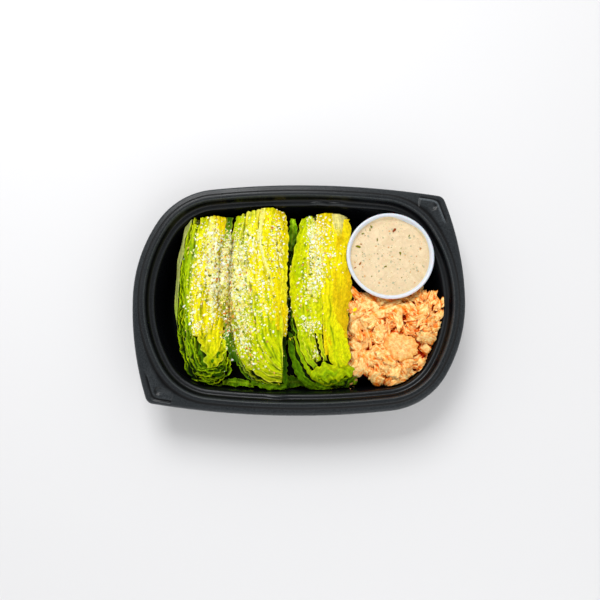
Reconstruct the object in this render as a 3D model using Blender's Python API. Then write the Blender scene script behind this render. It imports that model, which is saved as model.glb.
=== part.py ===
"""Salmon caesar salad in a black take-out tray with two corner tabs.

Three romaine wedges lie side by side, their stem ends at +Y and their leafy tips at -Y. A pot of
dressing stands in the +X +Y corner and flaked salmon fills the +X -Y corner. Loose leaves lie in
the gaps. The tray's flat base is at z = 0 and its centre is on the Z axis. Units are metres.
"""

import math

import bmesh
import bpy
import numpy as np

MM = 0.001

# Tray: an oval of three arcs a quarter, with a square tab on two opposite corners.
TRAY_LENGTH = 240.0 * MM
TRAY_WIDTH = 168.4 * MM
TRAY_HEIGHT = 38.0 * MM
LONG_SIDE_RADIUS = 604.0 * MM
SHORT_SIDE_RADIUS = 106.7 * MM
CORNER_RADIUS = 52.84 * MM
TAB_LONG_SIDE_RADIUS = 652.0 * MM
TAB_SHORT_SIDE_RADIUS = 220.0 * MM
TAB_CORNER_RADIUS = 6.5 * MM
FLANGE_WIDTH = 4.0 * MM
FLOOR_THICKNESS = 1.2 * MM

# The tray's upper skin and under skin, each as (distance in from the outer edge, depth below the
# rim), from the lip to the floor.
UPPER_SKIN = np.array([(0.0, 4.2), (1.6, 1.5), (4.8, 1.3), (5.8, 0.0), (8.6, 0.0), (10.4, 5.0),
                       (11.6, 6.4), (14.6, 6.7), (15.6, 8.4), (19.6, 32.0), (20.9, 35.2)]) * MM
UNDER_SKIN = np.array([(0.9, 4.2), (2.1, 2.5), (5.1, 2.2), (6.4, 0.9), (8.0, 0.9), (9.6, 5.5),
                       (11.1, 7.3), (14.0, 7.6), (14.7, 8.9), (18.7, 32.2), (20.0, 36.0)]) * MM
FLOOR_INSET = 23.5 * MM
BASE_INSET = 22.6 * MM

# Pot of dressing: a small tapered cup. Its profile is (radius, height over its own base).
CUP_CENTRE = np.array([66.8, 30.8]) * MM
CUP_OUTSIDE = np.array([(20.4, 0.0), (21.0, 0.6), (29.4, 30.2), (31.4, 30.4), (32.1, 31.0),
                        (32.1, 32.2), (31.3, 33.0)]) * MM
CUP_INSIDE = np.array([(30.4, 33.0), (29.6, 32.3), (29.2, 31.0), (20.3, 1.8), (19.4, 0.9)]) * MM
CUP_SIDES = 40
DRESSING_LEVEL = 29.4 * MM
DRESSING_BOTTOM = 1.3 * MM
DRESSING_MOUND = 0.7 * MM
DRESSING_RIPPLE = 0.12 * MM
RIPPLE_LENGTH = 14 * MM
DRESSING_RINGS = np.array([0.95, 0.8, 0.55, 0.3, 0.12])
MOUND_NARROWNESS = 3.2
MENISCUS = 0.4 * MM
MENISCUS_STEEPNESS = 12

# Clearances.
TOUCH_GAP = 0.3 * MM
FOOD_GAP = 0.8 * MM
FOOD_BASE = FLOOR_THICKNESS + TOUCH_GAP

# Romaine wedges: (y, left edge, right edge, top) from the stem end to the tip, in millimetres.
LEFT_WEDGE = [(60.5, -81.5, -55.5, 32.0), (50.0, -85.0, -53.4, 34.5), (26.0, -89.6, -53.4, 35.5),
              (0.0, -90.2, -54.4, 35.5), (-27.0, -87.3, -54.8, 35.0), (-45.0, -84.0, -53.4, 33.0),
              (-57.0, -79.0, -54.0, 29.0), (-63.0, -73.0, -60.0, 24.0)]
MIDDLE_WEDGE = [(65.5, -43.0, -14.5, 33.5), (56.0, -46.8, -10.0, 36.0), (42.0, -50.3, -8.3, 37.0),
                (20.0, -51.0, -8.8, 37.0), (0.0, -51.6, -9.2, 37.0), (-22.0, -49.6, -9.8, 36.0),
                (-38.0, -46.4, -11.8, 34.5), (-50.0, -40.5, -12.2, 32.0), (-60.0, -31.0, -13.5, 27.0)]
RIGHT_WEDGE = [(62.5, 3.5, 36.0, 31.5), (50.0, 0.4, 37.6, 34.0), (30.0, -4.2, 38.0, 35.0),
               (10.0, -6.2, 37.6, 35.0), (-20.0, -6.3, 34.6, 34.5), (-38.0, -5.4, 35.0, 33.0),
               (-50.0, -2.4, 36.4, 30.0), (-60.0, 5.0, 36.6, 26.0), (-65.0, 13.0, 34.0, 22.0)]
WEDGE_STATIONS = 15
WEDGE_SIDES = 32
HULL_MIDDLE = 0.62
HULL_TAPER = 0.42
LEAF_LAYERS = 4
LAYER_RELIEF = 1.2 * MM
LOBES = 11.0
LOBE_RELIEF = 0.9 * MM
LOBED_PART = 8
LAYER_SWAY = (0.8, 5.0)
SIDE_SQUARENESS = 0.62
TOP_SQUARENESS = 0.75
TAPER_STEEPNESS = 1.2
TOP_PART = 0.3
CUT_PART = 0.4
END_CROWDING = 0.06
SLANTED_PART = 5
WEDGE_FLOOR_GAP = 1.0 * MM
TIP_RISE = 14.0 * MM
TIP_LENGTH = 26.0 * MM
TIP_STEEPNESS = 1.5

# Flaked salmon: a heap of rounded-square outline with three large flakes on top.
SALMON_CENTRE = np.array([70.5, -29.0]) * MM
SALMON_HALF_SIZE = np.array([35.0, 37.0]) * MM
SALMON_SQUARENESS_BACK = 4.0
SALMON_SQUARENESS_FRONT = 2.2
SALMON_TOP = 32.0 * MM
SALMON_EDGE = 22.0 * MM
SALMON_SIDES = 40
SALMON_LEFT_LIMIT = 39.0 * MM
SALMON_WALL_GAP = 1.5 * MM
SALMON_LUMP = 1.8 * MM
SALMON_LUMP_LENGTH = 15 * MM
SALMON_FALL = 2.4
SALMON_BUMPS = ((0.035, 5, 1.0), (0.025, 9, 0.0))
# The skirt's rings as (share of the reach, share of the edge's height), then the top's rings.
SALMON_SKIRT = ((0.74, 0.0), (0.84, 0.25), (0.93, 0.6), (1.0, 0.95))
SALMON_TOP_RINGS = (0.96, 0.88, 0.77, 0.65, 0.53, 0.41, 0.29, 0.17, 0.07)
FLAKES = {
    "salmon_flake_front": {"centre": (72.8, -35.6), "size": (12.6, 9.6), "turn": -15.0, "seat": 29.0},
    "salmon_flake_left": {"centre": (48.0, -17.6), "size": (9.0, 6.2), "turn": -20.0, "seat": 27.0},
    "salmon_flake_right": {"centre": (92.0, -12.6), "size": (9.0, 5.6), "turn": -10.0, "seat": 28.0}}
FLAKE_THICKNESS = 4.0 * MM
FLAKE_SIDES = 18
FLAKE_RINGS = ((0.9, 0.0), (1.0, 0.3), (0.93, 0.62), (0.76, 0.85), (0.5, 0.97), (0.22, 1.0))
FLAKE_BUMPS = (0.08, 0.05)
FLAKE_TILT = 0.25
SEAT_DEPTH = 6 * MM

# Loose leaves: both ends of the rib and the middle's offset, then the width, in millimetres.
LEAVES = {
    "leaf_back":
        {"start": (-6.6, 37.0, 23.0), "end": (-4.6, 61.0, 27.0), "bow": (1.0, 0.0, 0.5), "width": 6.0},
    "leaf_front_left":
        {"start": (-55.0, -60.5, 17.0), "end": (-33.0, -62.8, 16.0), "bow": (0.0, 1.2, 1.5), "width": 5.0},
    "leaf_front_middle":
        {"start": (-29.0, -58.8, 11.5), "end": (3.0, -59.6, 11.0), "bow": (0.0, -0.6, 1.0), "width": 7.0},
    "leaf_front_right":
        {"start": (38.7, -51.5, 19.0), "end": (40.6, -62.5, 15.0), "bow": (0.0, 0.0, 1.5), "width": 4.2}}
LEAF_THICKNESS = 0.8 * MM
LEAF_CRINKLE = 0.5 * MM
LEAF_CUP = 0.6 * MM
LEAF_END = 0.22
LEAF_STEPS = (10, 3)


# Shapes

def corner_centre(long_radius, short_radius, corner_radius):
    """Centre of the arc that joins the long side's arc to the short side's, in the +X +Y quarter."""
    long_centre = np.array([0.0, TRAY_WIDTH / 2 - long_radius])
    short_centre = np.array([TRAY_LENGTH / 2 - short_radius, 0.0])
    reach_long = long_radius - corner_radius
    reach_short = short_radius - corner_radius
    across = short_centre - long_centre
    distance = np.linalg.norm(across)
    along = (reach_long**2 - reach_short**2 + distance**2) / (2 * distance)
    height = math.sqrt(reach_long**2 - along**2)
    direction = across / distance
    normal = np.array([direction[1], -direction[0]])
    return long_centre, short_centre, long_centre + along * direction + height * normal


LONG_CENTRE, SHORT_CENTRE, CORNER = corner_centre(LONG_SIDE_RADIUS, SHORT_SIDE_RADIUS, CORNER_RADIUS)
TAB_LONG_CENTRE, TAB_SHORT_CENTRE, TAB_CORNER = corner_centre(
    TAB_LONG_SIDE_RADIUS, TAB_SHORT_SIDE_RADIUS, TAB_CORNER_RADIUS)


def angle_of(vector):
    return math.atan2(vector[1], vector[0])


def arc(centre, radius, start, end, steps):
    """Points and outward normals of an arc, without its last point."""
    angles = np.linspace(start, end, steps, endpoint=False)
    normals = np.column_stack([np.cos(angles), np.sin(angles)])
    return centre + radius * normals, normals


def quarter_oval(inset, short_steps=3, corner_steps=9, long_steps=4):
    """The +X +Y quarter of the tray's round outline, moved in by inset, from the X axis to the Y axis."""
    to_short = angle_of(CORNER - SHORT_CENTRE)
    to_long = angle_of(CORNER - LONG_CENTRE)
    pieces = [arc(SHORT_CENTRE, SHORT_SIDE_RADIUS - inset, 0.0, to_short, short_steps),
              arc(CORNER, CORNER_RADIUS - inset, to_short, to_long, corner_steps),
              arc(LONG_CENTRE, LONG_SIDE_RADIUS - inset, to_long, math.pi / 2, long_steps)]
    last = np.array([[0.0, TRAY_WIDTH / 2 - inset]])
    points = np.vstack([piece[0] for piece in pieces] + [last])
    normals = np.vstack([piece[1] for piece in pieces] + [[[0.0, 1.0]]])
    return points, normals


def way_out(points, normals, centre, radius):
    """How far each point travels along its normal before it leaves a circle."""
    offset = points - centre
    along = np.sum(offset * normals, axis=1)
    return -along + np.sqrt(np.maximum(along**2 - np.sum(offset**2, axis=1) + radius**2, 0.0))


def onto_tab(points, normals, inset):
    """Moves the round outline's points out to the tab's outline, which has its own three arcs."""
    travel = np.minimum(way_out(points, normals, TAB_LONG_CENTRE, TAB_LONG_SIDE_RADIUS - inset),
                        way_out(points, normals, TAB_SHORT_CENTRE, TAB_SHORT_SIDE_RADIUS - inset))
    moved = points + travel[:, None] * normals
    angles = np.arctan2(moved[:, 1] - TAB_CORNER[1], moved[:, 0] - TAB_CORNER[0])
    low = angle_of(TAB_CORNER - TAB_SHORT_CENTRE)
    high = angle_of(TAB_CORNER - TAB_LONG_CENTRE)
    rounded = way_out(points, normals, TAB_CORNER, TAB_CORNER_RADIUS - inset)
    at_corner = (angles > low) & (angles < high)
    return np.where(at_corner[:, None], points + rounded[:, None] * normals, moved)


def tray_ring(inset):
    """A closed ring of the tray, where the flange's rings also reach out over the two tabs."""
    points, normals = quarter_oval(inset)
    tabbed = onto_tab(points, normals, inset) if inset < FLANGE_WIDTH else points
    mirrored = points[::-1] * (-1, 1)
    half = np.vstack([tabbed[:-1], mirrored[:-1]])
    return np.vstack([half, -half])


def depth_from_edge(points):
    """Distance in from the tray's round outline, and the direction straight in, for each (x, y)."""
    sign = np.where(points < 0, -1.0, 1.0)
    folded = np.abs(points)
    angles = np.arctan2(folded[:, 1] - CORNER[1], folded[:, 0] - CORNER[0])
    short = angles < angle_of(CORNER - SHORT_CENTRE)
    long = angles > angle_of(CORNER - LONG_CENTRE)
    centre = np.where(short[:, None], SHORT_CENTRE, np.where(long[:, None], LONG_CENTRE, CORNER))
    radius = np.where(short, SHORT_SIDE_RADIUS, np.where(long, LONG_SIDE_RADIUS, CORNER_RADIUS))
    offset = folded - centre
    distance = np.maximum(np.linalg.norm(offset, axis=1), MM)
    return radius - distance, -sign * offset / distance[:, None]


def keep_inside_tray(points, gap):
    """Moves points in from the tray's wall at their own height."""
    depth, inward = depth_from_edge(points[:, :2])
    wall_skin = np.vstack([UPPER_SKIN[4:], (FLOOR_INSET, TRAY_HEIGHT - FLOOR_THICKNESS)])[::-1]
    wall = np.interp(points[:, 2], TRAY_HEIGHT - wall_skin[:, 1], wall_skin[:, 0]) + gap
    moved = points.copy()
    moved[:, :2] += np.maximum(wall - depth, 0.0)[:, None] * inward
    return moved


def keep_clear_of_cup(points, gap):
    """Moves points out of a cone that just holds the cup and its rim."""
    base, rim = CUP_OUTSIDE[1], CUP_OUTSIDE[4]
    share = np.clip((points[:, 2] - FOOD_BASE) / rim[1], 0.0, 1.0)
    radius = base[0] + (rim[0] - base[0]) * share + gap
    offset = points[:, :2] - CUP_CENTRE
    distance = np.maximum(np.linalg.norm(offset, axis=1), MM)
    moved = points.copy()
    moved[:, :2] += (np.maximum(radius - distance, 0.0) / distance)[:, None] * offset
    return moved


def curve_through(keys, values, at):
    """A smooth curve through the keys: a cubic between each two, with the slope of their neighbours."""
    order = np.argsort(keys)
    keys, values = np.asarray(keys)[order], np.asarray(values)[order]
    slopes = np.gradient(values, keys)
    index = np.clip(np.searchsorted(keys, at) - 1, 0, len(keys) - 2)
    width = keys[index + 1] - keys[index]
    t = np.clip((at - keys[index]) / width, 0.0, 1.0)
    start = (2 * t**3 - 3 * t**2 + 1) * values[index] + (t**3 - 2 * t**2 + t) * width * slopes[index]
    end = (3 * t**2 - 2 * t**3) * values[index + 1] + (t**3 - t**2) * width * slopes[index + 1]
    return start + end


def lumps(x, y, wavelength, seed, waves=7):
    """Smooth random relief between about -1 and 1: a sum of waves that run in random directions."""
    random = np.random.default_rng(seed)
    total = np.zeros_like(x)
    for direction, phase, stretch in zip(random.uniform(0, math.tau, waves),
                                         random.uniform(0, math.tau, waves),
                                         random.uniform(0.7, 1.5, waves)):
        along = x * math.cos(direction) + y * math.sin(direction)
        total += np.sin(math.tau * along / (wavelength * stretch) + phase)
    return total / math.sqrt(2 * waves)


# Objects

def plain_material(name, colour, roughness):
    material = bpy.data.materials.new(name)
    material.use_nodes = True
    shader = material.node_tree.nodes["Principled BSDF"]
    shader.inputs["Base Color"].default_value = (*colour, 1.0)
    shader.inputs["Roughness"].default_value = roughness
    shader.inputs["Metallic"].default_value = 0.0
    return material


def add_piece(name, points, faces, material, origin, parent, smooth_angle=40.0):
    """One closed body, with its object's origin at origin."""
    mesh = bpy.data.meshes.new(name)
    mesh.from_pydata((np.asarray(points) - origin).tolist(), [], faces)
    body = bmesh.new()
    body.from_mesh(mesh)
    bmesh.ops.recalc_face_normals(body, faces=body.faces)
    if body.calc_volume(signed=True) < 0:
        bmesh.ops.reverse_faces(body, faces=body.faces)
    body.to_mesh(mesh)
    body.free()
    mesh.shade_smooth()
    mesh.set_sharp_from_angle(angle=math.radians(smooth_angle))
    mesh.materials.append(material)
    piece = bpy.data.objects.new(name, mesh)
    piece.location = origin
    piece.parent = parent
    bpy.context.scene.collection.objects.link(piece)
    return piece


def stack_of_rings(rings, pointed_start=False, pointed_end=False):
    """Points and faces of a closed body from equal rings, with a flat or a pointed cap at each end."""
    count, sides = rings.shape[:2]
    points = rings.reshape(-1, 3)
    faces = []
    for row in range(count - 1):
        for side in range(sides):
            after = (side + 1) % sides
            faces.append((row * sides + side, row * sides + after,
                          (row + 1) * sides + after, (row + 1) * sides + side))
    for pointed, first in ((pointed_start, 0), (pointed_end, (count - 1) * sides)):
        edge = list(range(first, first + sides))
        if not pointed:
            faces.append(tuple(edge))
            continue
        middle = len(points)
        points = np.vstack([points, rings.reshape(-1, 3)[edge].mean(axis=0)])
        faces.extend((edge[side], edge[(side + 1) % sides], middle) for side in range(sides))
    return points, faces


def turned_rings(profile, centre, base):
    """Rings round an upright axis from a list of (radius, height over base)."""
    angles = np.linspace(0.0, math.tau, CUP_SIDES, endpoint=False)
    radius, height = profile[:, 0][:, None], profile[:, 1][:, None]
    x = centre[0] + radius * np.cos(angles)
    y = centre[1] + radius * np.sin(angles)
    return np.stack([x, y, np.broadcast_to(base + height, x.shape)], axis=2)


# Tray and pot

def make_tray(material, parent):
    """Thin black plastic: base, wall, ledge, raised rail, flange and turned-down lip."""
    base = [(BASE_INSET, TRAY_HEIGHT)]
    floor = [(FLOOR_INSET, TRAY_HEIGHT - FLOOR_THICKNESS)]
    profile = np.vstack([base, UNDER_SKIN[::-1], UPPER_SKIN, floor])
    outlines = [tray_ring(inset) for inset, drop in profile]
    heights = TRAY_HEIGHT - profile[:, 1]
    rings = np.stack([np.column_stack([outline, np.full(len(outline), height)])
                      for outline, height in zip(outlines, heights)])
    points, faces = stack_of_rings(rings)
    return add_piece("tray", points, faces, material, np.zeros(3), parent)


def make_cup(material, parent):
    """Tapered portion cup with a rounded rim."""
    rings = turned_rings(np.vstack([CUP_OUTSIDE, CUP_INSIDE]), CUP_CENTRE, FOOD_BASE)
    points, faces = stack_of_rings(rings)
    return add_piece("sauce_cup", points, faces, material, np.array([*CUP_CENTRE, FOOD_BASE]), parent)


def make_dressing(material, parent):
    """Fills the cup to its level, creeps up at the wall and has a low mound in the middle."""
    wall = CUP_INSIDE[2:4][::-1]
    edge = np.interp(DRESSING_LEVEL, wall[:, 1], wall[:, 0]) - TOUCH_GAP
    foot = np.interp(DRESSING_BOTTOM, CUP_INSIDE[::-1, 1], CUP_INSIDE[::-1, 0]) - TOUCH_GAP
    profile = np.vstack([[(foot - TOUCH_GAP, DRESSING_BOTTOM), (edge, DRESSING_LEVEL)],
                         np.column_stack([edge * DRESSING_RINGS, np.full(len(DRESSING_RINGS), DRESSING_LEVEL)])])
    rings = turned_rings(profile, CUP_CENTRE, FOOD_BASE)
    x, y = rings[1:, :, 0] - CUP_CENTRE[0], rings[1:, :, 1] - CUP_CENTRE[1]
    out = np.hypot(x, y) / edge
    rings[1:, :, 2] += (MENISCUS * out**MENISCUS_STEEPNESS - MENISCUS
                        + DRESSING_MOUND * np.exp(-(out * MOUND_NARROWNESS) ** 2)
                        + DRESSING_RIPPLE * lumps(x, y, RIPPLE_LENGTH, seed=4) * (1 - out**4))
    points, faces = stack_of_rings(rings, pointed_end=True)
    return add_piece("dressing", points, faces, material, np.array([*CUP_CENTRE, FOOD_BASE]), parent)


# Lettuce

def make_wedge(name, stations, material, parent, lean=0.0, slant=0.0, seed=0):
    """A romaine wedge, cut side up: ridged by its leaf layers above, round as a hull below.

    Lean tips the top from left to right, and slant draws the right of the stem end out.
    """
    y_keys, left_keys, right_keys, top_keys = (np.array(stations).T * MM)
    share = np.linspace(0.0, 1.0, WEDGE_STATIONS)
    y = y_keys[0] + (y_keys[-1] - y_keys[0]) * (share - END_CROWDING * np.sin(math.tau * share))
    left = curve_through(y_keys, left_keys, y)
    right = curve_through(y_keys, right_keys, y)
    top = curve_through(y_keys, top_keys, y)
    tip = np.clip(1 - (y - y_keys[-1]) / TIP_LENGTH, 0, 1)
    bottom = FOOD_BASE + WEDGE_FLOOR_GAP + TIP_RISE * tip**TIP_STEEPNESS
    angle = np.linspace(0.0, math.tau, WEDGE_SIDES, endpoint=False)
    across = np.sign(np.cos(angle)) * np.abs(np.cos(angle)) ** SIDE_SQUARENESS
    upward = np.sign(np.sin(angle)) * np.abs(np.sin(angle)) ** TOP_SQUARENESS
    middle = bottom + (top - bottom) * HULL_MIDDLE
    rise = np.where(upward > 0, np.outer(top - middle, upward), np.outer(middle - bottom, upward))
    z = middle[:, None] + rise
    z += np.where(upward > TOP_PART, lean * across * upward, 0.0)
    sway = LAYER_SWAY[0] * np.sin(share * LAYER_SWAY[1])[:, None]
    layers = np.cos(math.tau * LEAF_LAYERS * across / 2 + sway + seed)
    z += np.where(upward > CUT_PART, LAYER_RELIEF * layers, 0.0)
    narrow = 1 - HULL_TAPER * np.clip(-upward, 0.0, 1.0) ** TAPER_STEEPNESS
    x = ((left + right) / 2)[:, None] + np.outer((right - left) / 2, across * narrow)
    y = y[:, None] + slant * np.outer(np.clip(1 - share * SLANTED_PART, 0, 1), across)
    y = y + LOBE_RELIEF * np.outer(np.clip(1 - share * LOBED_PART, 0, 1), np.cos(LOBES * across + seed))
    points = np.stack([x, y, z], axis=2).reshape(-1, 3)
    points = keep_clear_of_cup(keep_inside_tray(points, FOOD_GAP), FOOD_GAP)
    rings = points.reshape(WEDGE_STATIONS, WEDGE_SIDES, 3)
    points, faces = stack_of_rings(rings, pointed_start=True, pointed_end=True)
    origin = np.array([points[:, 0].mean(), 0.0, FOOD_BASE])
    return add_piece(name, points, faces, material, origin, parent, smooth_angle=60.0)


def make_leaf(name, leaf, material, parent):
    """A loose leaf: a thin pointed blade, crinkled and cupped, along a bowed rib."""
    along, across = np.meshgrid(np.linspace(0, 1, LEAF_STEPS[0] + 1), np.linspace(-1, 1, LEAF_STEPS[1] + 1),
                                indexing="ij")
    start, end, bow = (np.array(leaf[key]) * MM for key in ("start", "end", "bow"))
    rib = start + (end - start) * along[..., None] + bow * (4 * along * (1 - along))[..., None]
    direction = (end - start) / np.linalg.norm(end - start)
    sideways = np.array([-direction[1], direction[0], 0.0])
    width = leaf["width"] * MM * (LEAF_END + (1 - LEAF_END) * np.sin(math.pi * (0.06 + 0.88 * along)) ** 0.7)
    blade = rib + sideways * (across * width / 2)[..., None]
    blade[..., 2] += LEAF_CRINKLE * np.sin(along * 19 + across * 2) + LEAF_CUP * across**2
    upper = blade + (0, 0, LEAF_THICKNESS / 2)
    lower = blade - (0, 0, LEAF_THICKNESS / 2)
    sections = np.concatenate([upper, lower[:, ::-1]], axis=1)
    points, faces = stack_of_rings(sections)
    return add_piece(name, points, faces, material, rib[LEAF_STEPS[0] // 2, 0], parent)


# Salmon

def turned_offset(x, y, flake):
    """Offsets from a flake's centre along its own two axes, as shares of its half sizes."""
    turn = math.radians(flake["turn"])
    east = x - flake["centre"][0] * MM
    north = y - flake["centre"][1] * MM
    along = east * math.cos(turn) + north * math.sin(turn)
    across = north * math.cos(turn) - east * math.sin(turn)
    return along / (flake["size"][0] * MM), across / (flake["size"][1] * MM)


def salmon_height(x, y, out):
    """Top of the heap: high in the middle, lumpy, and lowered where a large flake sits."""
    height = SALMON_EDGE + (SALMON_TOP - SALMON_EDGE) * (1 - out**SALMON_FALL)
    height = height + SALMON_LUMP * lumps(x, y, SALMON_LUMP_LENGTH, seed=11) * (1 - out / 2)
    for flake in FLAKES.values():
        along, across = turned_offset(x, y, flake)
        near = np.clip(2.0 - np.hypot(along, across), 0.0, 0.5) * 2
        seat = flake["seat"] * MM - 2 * TOUCH_GAP
        height = np.where(near > 0, np.minimum(height, seat + (1 - near) * SEAT_DEPTH), height)
    return height


def make_salmon(material, parent):
    """The heap: a skirt that follows the tray's wall, then the lumpy top."""
    angle = np.linspace(0.0, math.tau, SALMON_SIDES, endpoint=False)
    power = np.where(np.sin(angle) > 0, SALMON_SQUARENESS_BACK, SALMON_SQUARENESS_FRONT)
    reach = (np.abs(np.cos(angle) / SALMON_HALF_SIZE[0]) ** power
             + np.abs(np.sin(angle) / SALMON_HALF_SIZE[1]) ** power) ** (-1 / power)
    reach = reach * (1 + sum(size * np.sin(count * angle + phase) for size, count, phase in SALMON_BUMPS))
    rings = []
    for share, height in SALMON_SKIRT:
        rings.append((share, np.full(SALMON_SIDES, FOOD_BASE + height * (SALMON_EDGE - FOOD_BASE))))
    for share in SALMON_TOP_RINGS:
        x = SALMON_CENTRE[0] + share * reach * np.cos(angle)
        y = SALMON_CENTRE[1] + share * reach * np.sin(angle)
        rings.append((share, salmon_height(x, y, share)))
    points = np.array([np.column_stack([SALMON_CENTRE[0] + share * reach * np.cos(angle),
                                        SALMON_CENTRE[1] + share * reach * np.sin(angle), height])
                       for share, height in rings])
    flat = points.reshape(-1, 3)
    flat = keep_clear_of_cup(keep_inside_tray(flat, SALMON_WALL_GAP), FOOD_GAP)
    flat[:, 0] = np.maximum(flat[:, 0], SALMON_LEFT_LIMIT)
    points, faces = stack_of_rings(flat.reshape(points.shape), pointed_end=True)
    return add_piece("salmon_heap", points, faces, material, np.array([*SALMON_CENTRE, FOOD_BASE]), parent)


def make_flake(name, flake, material, parent):
    """A large smooth flake: a low uneven dome with a flat underside."""
    angle = np.linspace(0.0, math.tau, FLAKE_SIDES, endpoint=False)
    turn = math.radians(flake["turn"])
    outline = 1 + FLAKE_BUMPS[0] * np.sin(3 * angle + flake["seat"]) + FLAKE_BUMPS[1] * np.sin(5 * angle)
    rings = []
    for share, height in FLAKE_RINGS:
        along = flake["size"][0] * MM * share * outline * np.cos(angle)
        across = flake["size"][1] * MM * share * outline * np.sin(angle)
        x = flake["centre"][0] * MM + along * math.cos(turn) - across * math.sin(turn)
        y = flake["centre"][1] * MM + along * math.sin(turn) + across * math.cos(turn)
        tilt = 1 + FLAKE_TILT * np.cos(angle) * share
        z = flake["seat"] * MM + FLAKE_THICKNESS * height * tilt
        rings.append(np.column_stack([x, y, z]))
    points, faces = stack_of_rings(np.array(rings), pointed_end=True)
    origin = np.array([flake["centre"][0], flake["centre"][1], flake["seat"]]) * MM
    return add_piece(name, points, faces, material, origin, parent)


# The whole

def clear_scene():
    for item in list(bpy.data.objects):
        bpy.data.objects.remove(item, do_unlink=True)


def make_salad():
    clear_scene()
    black_plastic = plain_material("black_plastic", (0.012, 0.013, 0.014), 0.35)
    white_plastic = plain_material("white_plastic", (0.80, 0.84, 0.88), 0.30)
    cream_dressing = plain_material("cream_dressing", (0.86, 0.68, 0.42), 0.35)
    romaine = plain_material("romaine", (0.55, 0.62, 0.07), 0.45)
    green_leaf = plain_material("green_leaf", (0.10, 0.22, 0.01), 0.45)
    salmon = plain_material("salmon", (0.90, 0.42, 0.14), 0.50)

    whole = bpy.data.objects.new("salad_box", None)
    bpy.context.scene.collection.objects.link(whole)
    make_tray(black_plastic, whole)
    make_cup(white_plastic, whole)
    make_dressing(cream_dressing, whole)
    make_wedge("lettuce_left", LEFT_WEDGE, romaine, whole, seed=1)
    make_wedge("lettuce_middle", MIDDLE_WEDGE, romaine, whole, slant=2.4 * MM, seed=2)
    make_wedge("lettuce_right", RIGHT_WEDGE, romaine, whole, lean=-3.5 * MM, seed=3)
    for name, leaf in LEAVES.items():
        make_leaf(name, leaf, green_leaf, whole)
    make_salmon(salmon, whole)
    for name, flake in FLAKES.items():
        make_flake(name, flake, salmon, whole)


make_salad()
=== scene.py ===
import math

import bmesh
import bpy
import numpy as np
from mathutils.bvhtree import BVHTree
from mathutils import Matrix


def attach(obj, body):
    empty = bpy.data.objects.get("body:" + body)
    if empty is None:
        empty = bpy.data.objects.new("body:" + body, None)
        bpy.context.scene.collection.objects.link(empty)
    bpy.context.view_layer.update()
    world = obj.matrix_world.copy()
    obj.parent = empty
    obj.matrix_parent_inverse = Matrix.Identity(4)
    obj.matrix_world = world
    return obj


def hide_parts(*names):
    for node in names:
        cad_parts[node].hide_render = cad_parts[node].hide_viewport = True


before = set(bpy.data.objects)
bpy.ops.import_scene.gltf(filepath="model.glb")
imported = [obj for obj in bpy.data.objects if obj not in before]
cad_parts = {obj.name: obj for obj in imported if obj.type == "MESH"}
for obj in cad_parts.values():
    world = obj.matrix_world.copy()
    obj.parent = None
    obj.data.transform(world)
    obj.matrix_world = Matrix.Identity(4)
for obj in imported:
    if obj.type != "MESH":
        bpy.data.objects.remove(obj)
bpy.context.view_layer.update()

mm = 0.001
# most of a noise lies between these values
middleBand = (0.3, 0.7)


def linearTint(tint):
    # display colours, 0 to 255, turned into the linear colours that a shader takes
    value = np.asarray(tint) / 255.0
    return np.where(value <= 0.04045, value / 12.92, ((value + 0.055) / 1.055) ** 2.4)


def srgb(*colour):
    # one display colour as the four values of a shader's socket
    return (*linearTint(colour), 1.0)


def smoothCurve(points, count):
    # cubic through every point, each point's slope being that of the line between its neighbours
    points = np.asarray(points, float)
    if len(points) == 2:
        return points[0] + (points[1] - points[0]) * np.linspace(0, 1, count)[:, None]
    slopes = np.gradient(points, axis=0)
    place = np.linspace(0, len(points) - 1, count)
    index = np.minimum(place.astype(int), len(points) - 2)
    t = (place - index)[:, None]
    return ((2 * t**3 - 3 * t**2 + 1) * points[index] + (t**3 - 2 * t**2 + t) * slopes[index]
            + (3 * t**2 - 2 * t**3) * points[index + 1] + (t**3 - t**2) * slopes[index + 1])


def smoothValue(keys, values, at):
    # the same cubic, for a value given at uneven keys
    order = np.argsort(keys)
    keys, values = np.asarray(keys, float)[order], np.asarray(values, float)[order]
    slopes = np.gradient(values, keys)
    index = np.clip(np.searchsorted(keys, at) - 1, 0, len(keys) - 2)
    width = keys[index + 1] - keys[index]
    t = np.clip((at - keys[index]) / width, 0, 1)
    return ((2 * t**3 - 3 * t**2 + 1) * values[index] + (t**3 - 2 * t**2 + t) * width * slopes[index]
            + (3 * t**2 - 2 * t**3) * values[index + 1] + (t**3 - t**2) * width * slopes[index + 1])


def waves(x, y, wavelength, seed, count=8):
    # uneven relief between about -1 and 1: sine waves that run in random directions, added up
    random = np.random.default_rng(seed)
    total = np.zeros(np.broadcast(x, y).shape)
    for turn, phase, stretch in zip(random.uniform(0, math.tau, count), random.uniform(0, math.tau, count),
                                    random.uniform(0.65, 1.6, count)):
        total += np.sin(math.tau * (x * math.cos(turn) + y * math.sin(turn)) / (wavelength * stretch)
            + phase)
    return total / math.sqrt(count)


def gridFaces(rows, columns, closeColumns=False):
    # four-sided faces of a grid of points, in row order
    row = np.arange(rows - 1)[:, None]
    column = np.arange(columns if closeColumns else columns - 1)[None, :]
    nextColumn = (column + 1) % columns
    corners = [row * columns + column, row * columns + nextColumn,
               (row + 1) * columns + nextColumn, (row + 1) * columns + column]
    return np.stack(np.broadcast_arrays(*corners), axis=-1).reshape(-1, 4)


def ringFaces(count, sides):
    # faces of a body of equal rings, each end closed by triangles on one point more
    side = np.arange(sides)
    after, last = (side + 1) % sides, (count - 1) * sides
    caps = [np.column_stack([after, side, np.full(sides, count * sides)]),
            np.column_stack([last + side, last + after, np.full(sides, count * sides + 1)])]
    return [gridFaces(count, sides, closeColumns=True), np.vstack(caps)]


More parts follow.
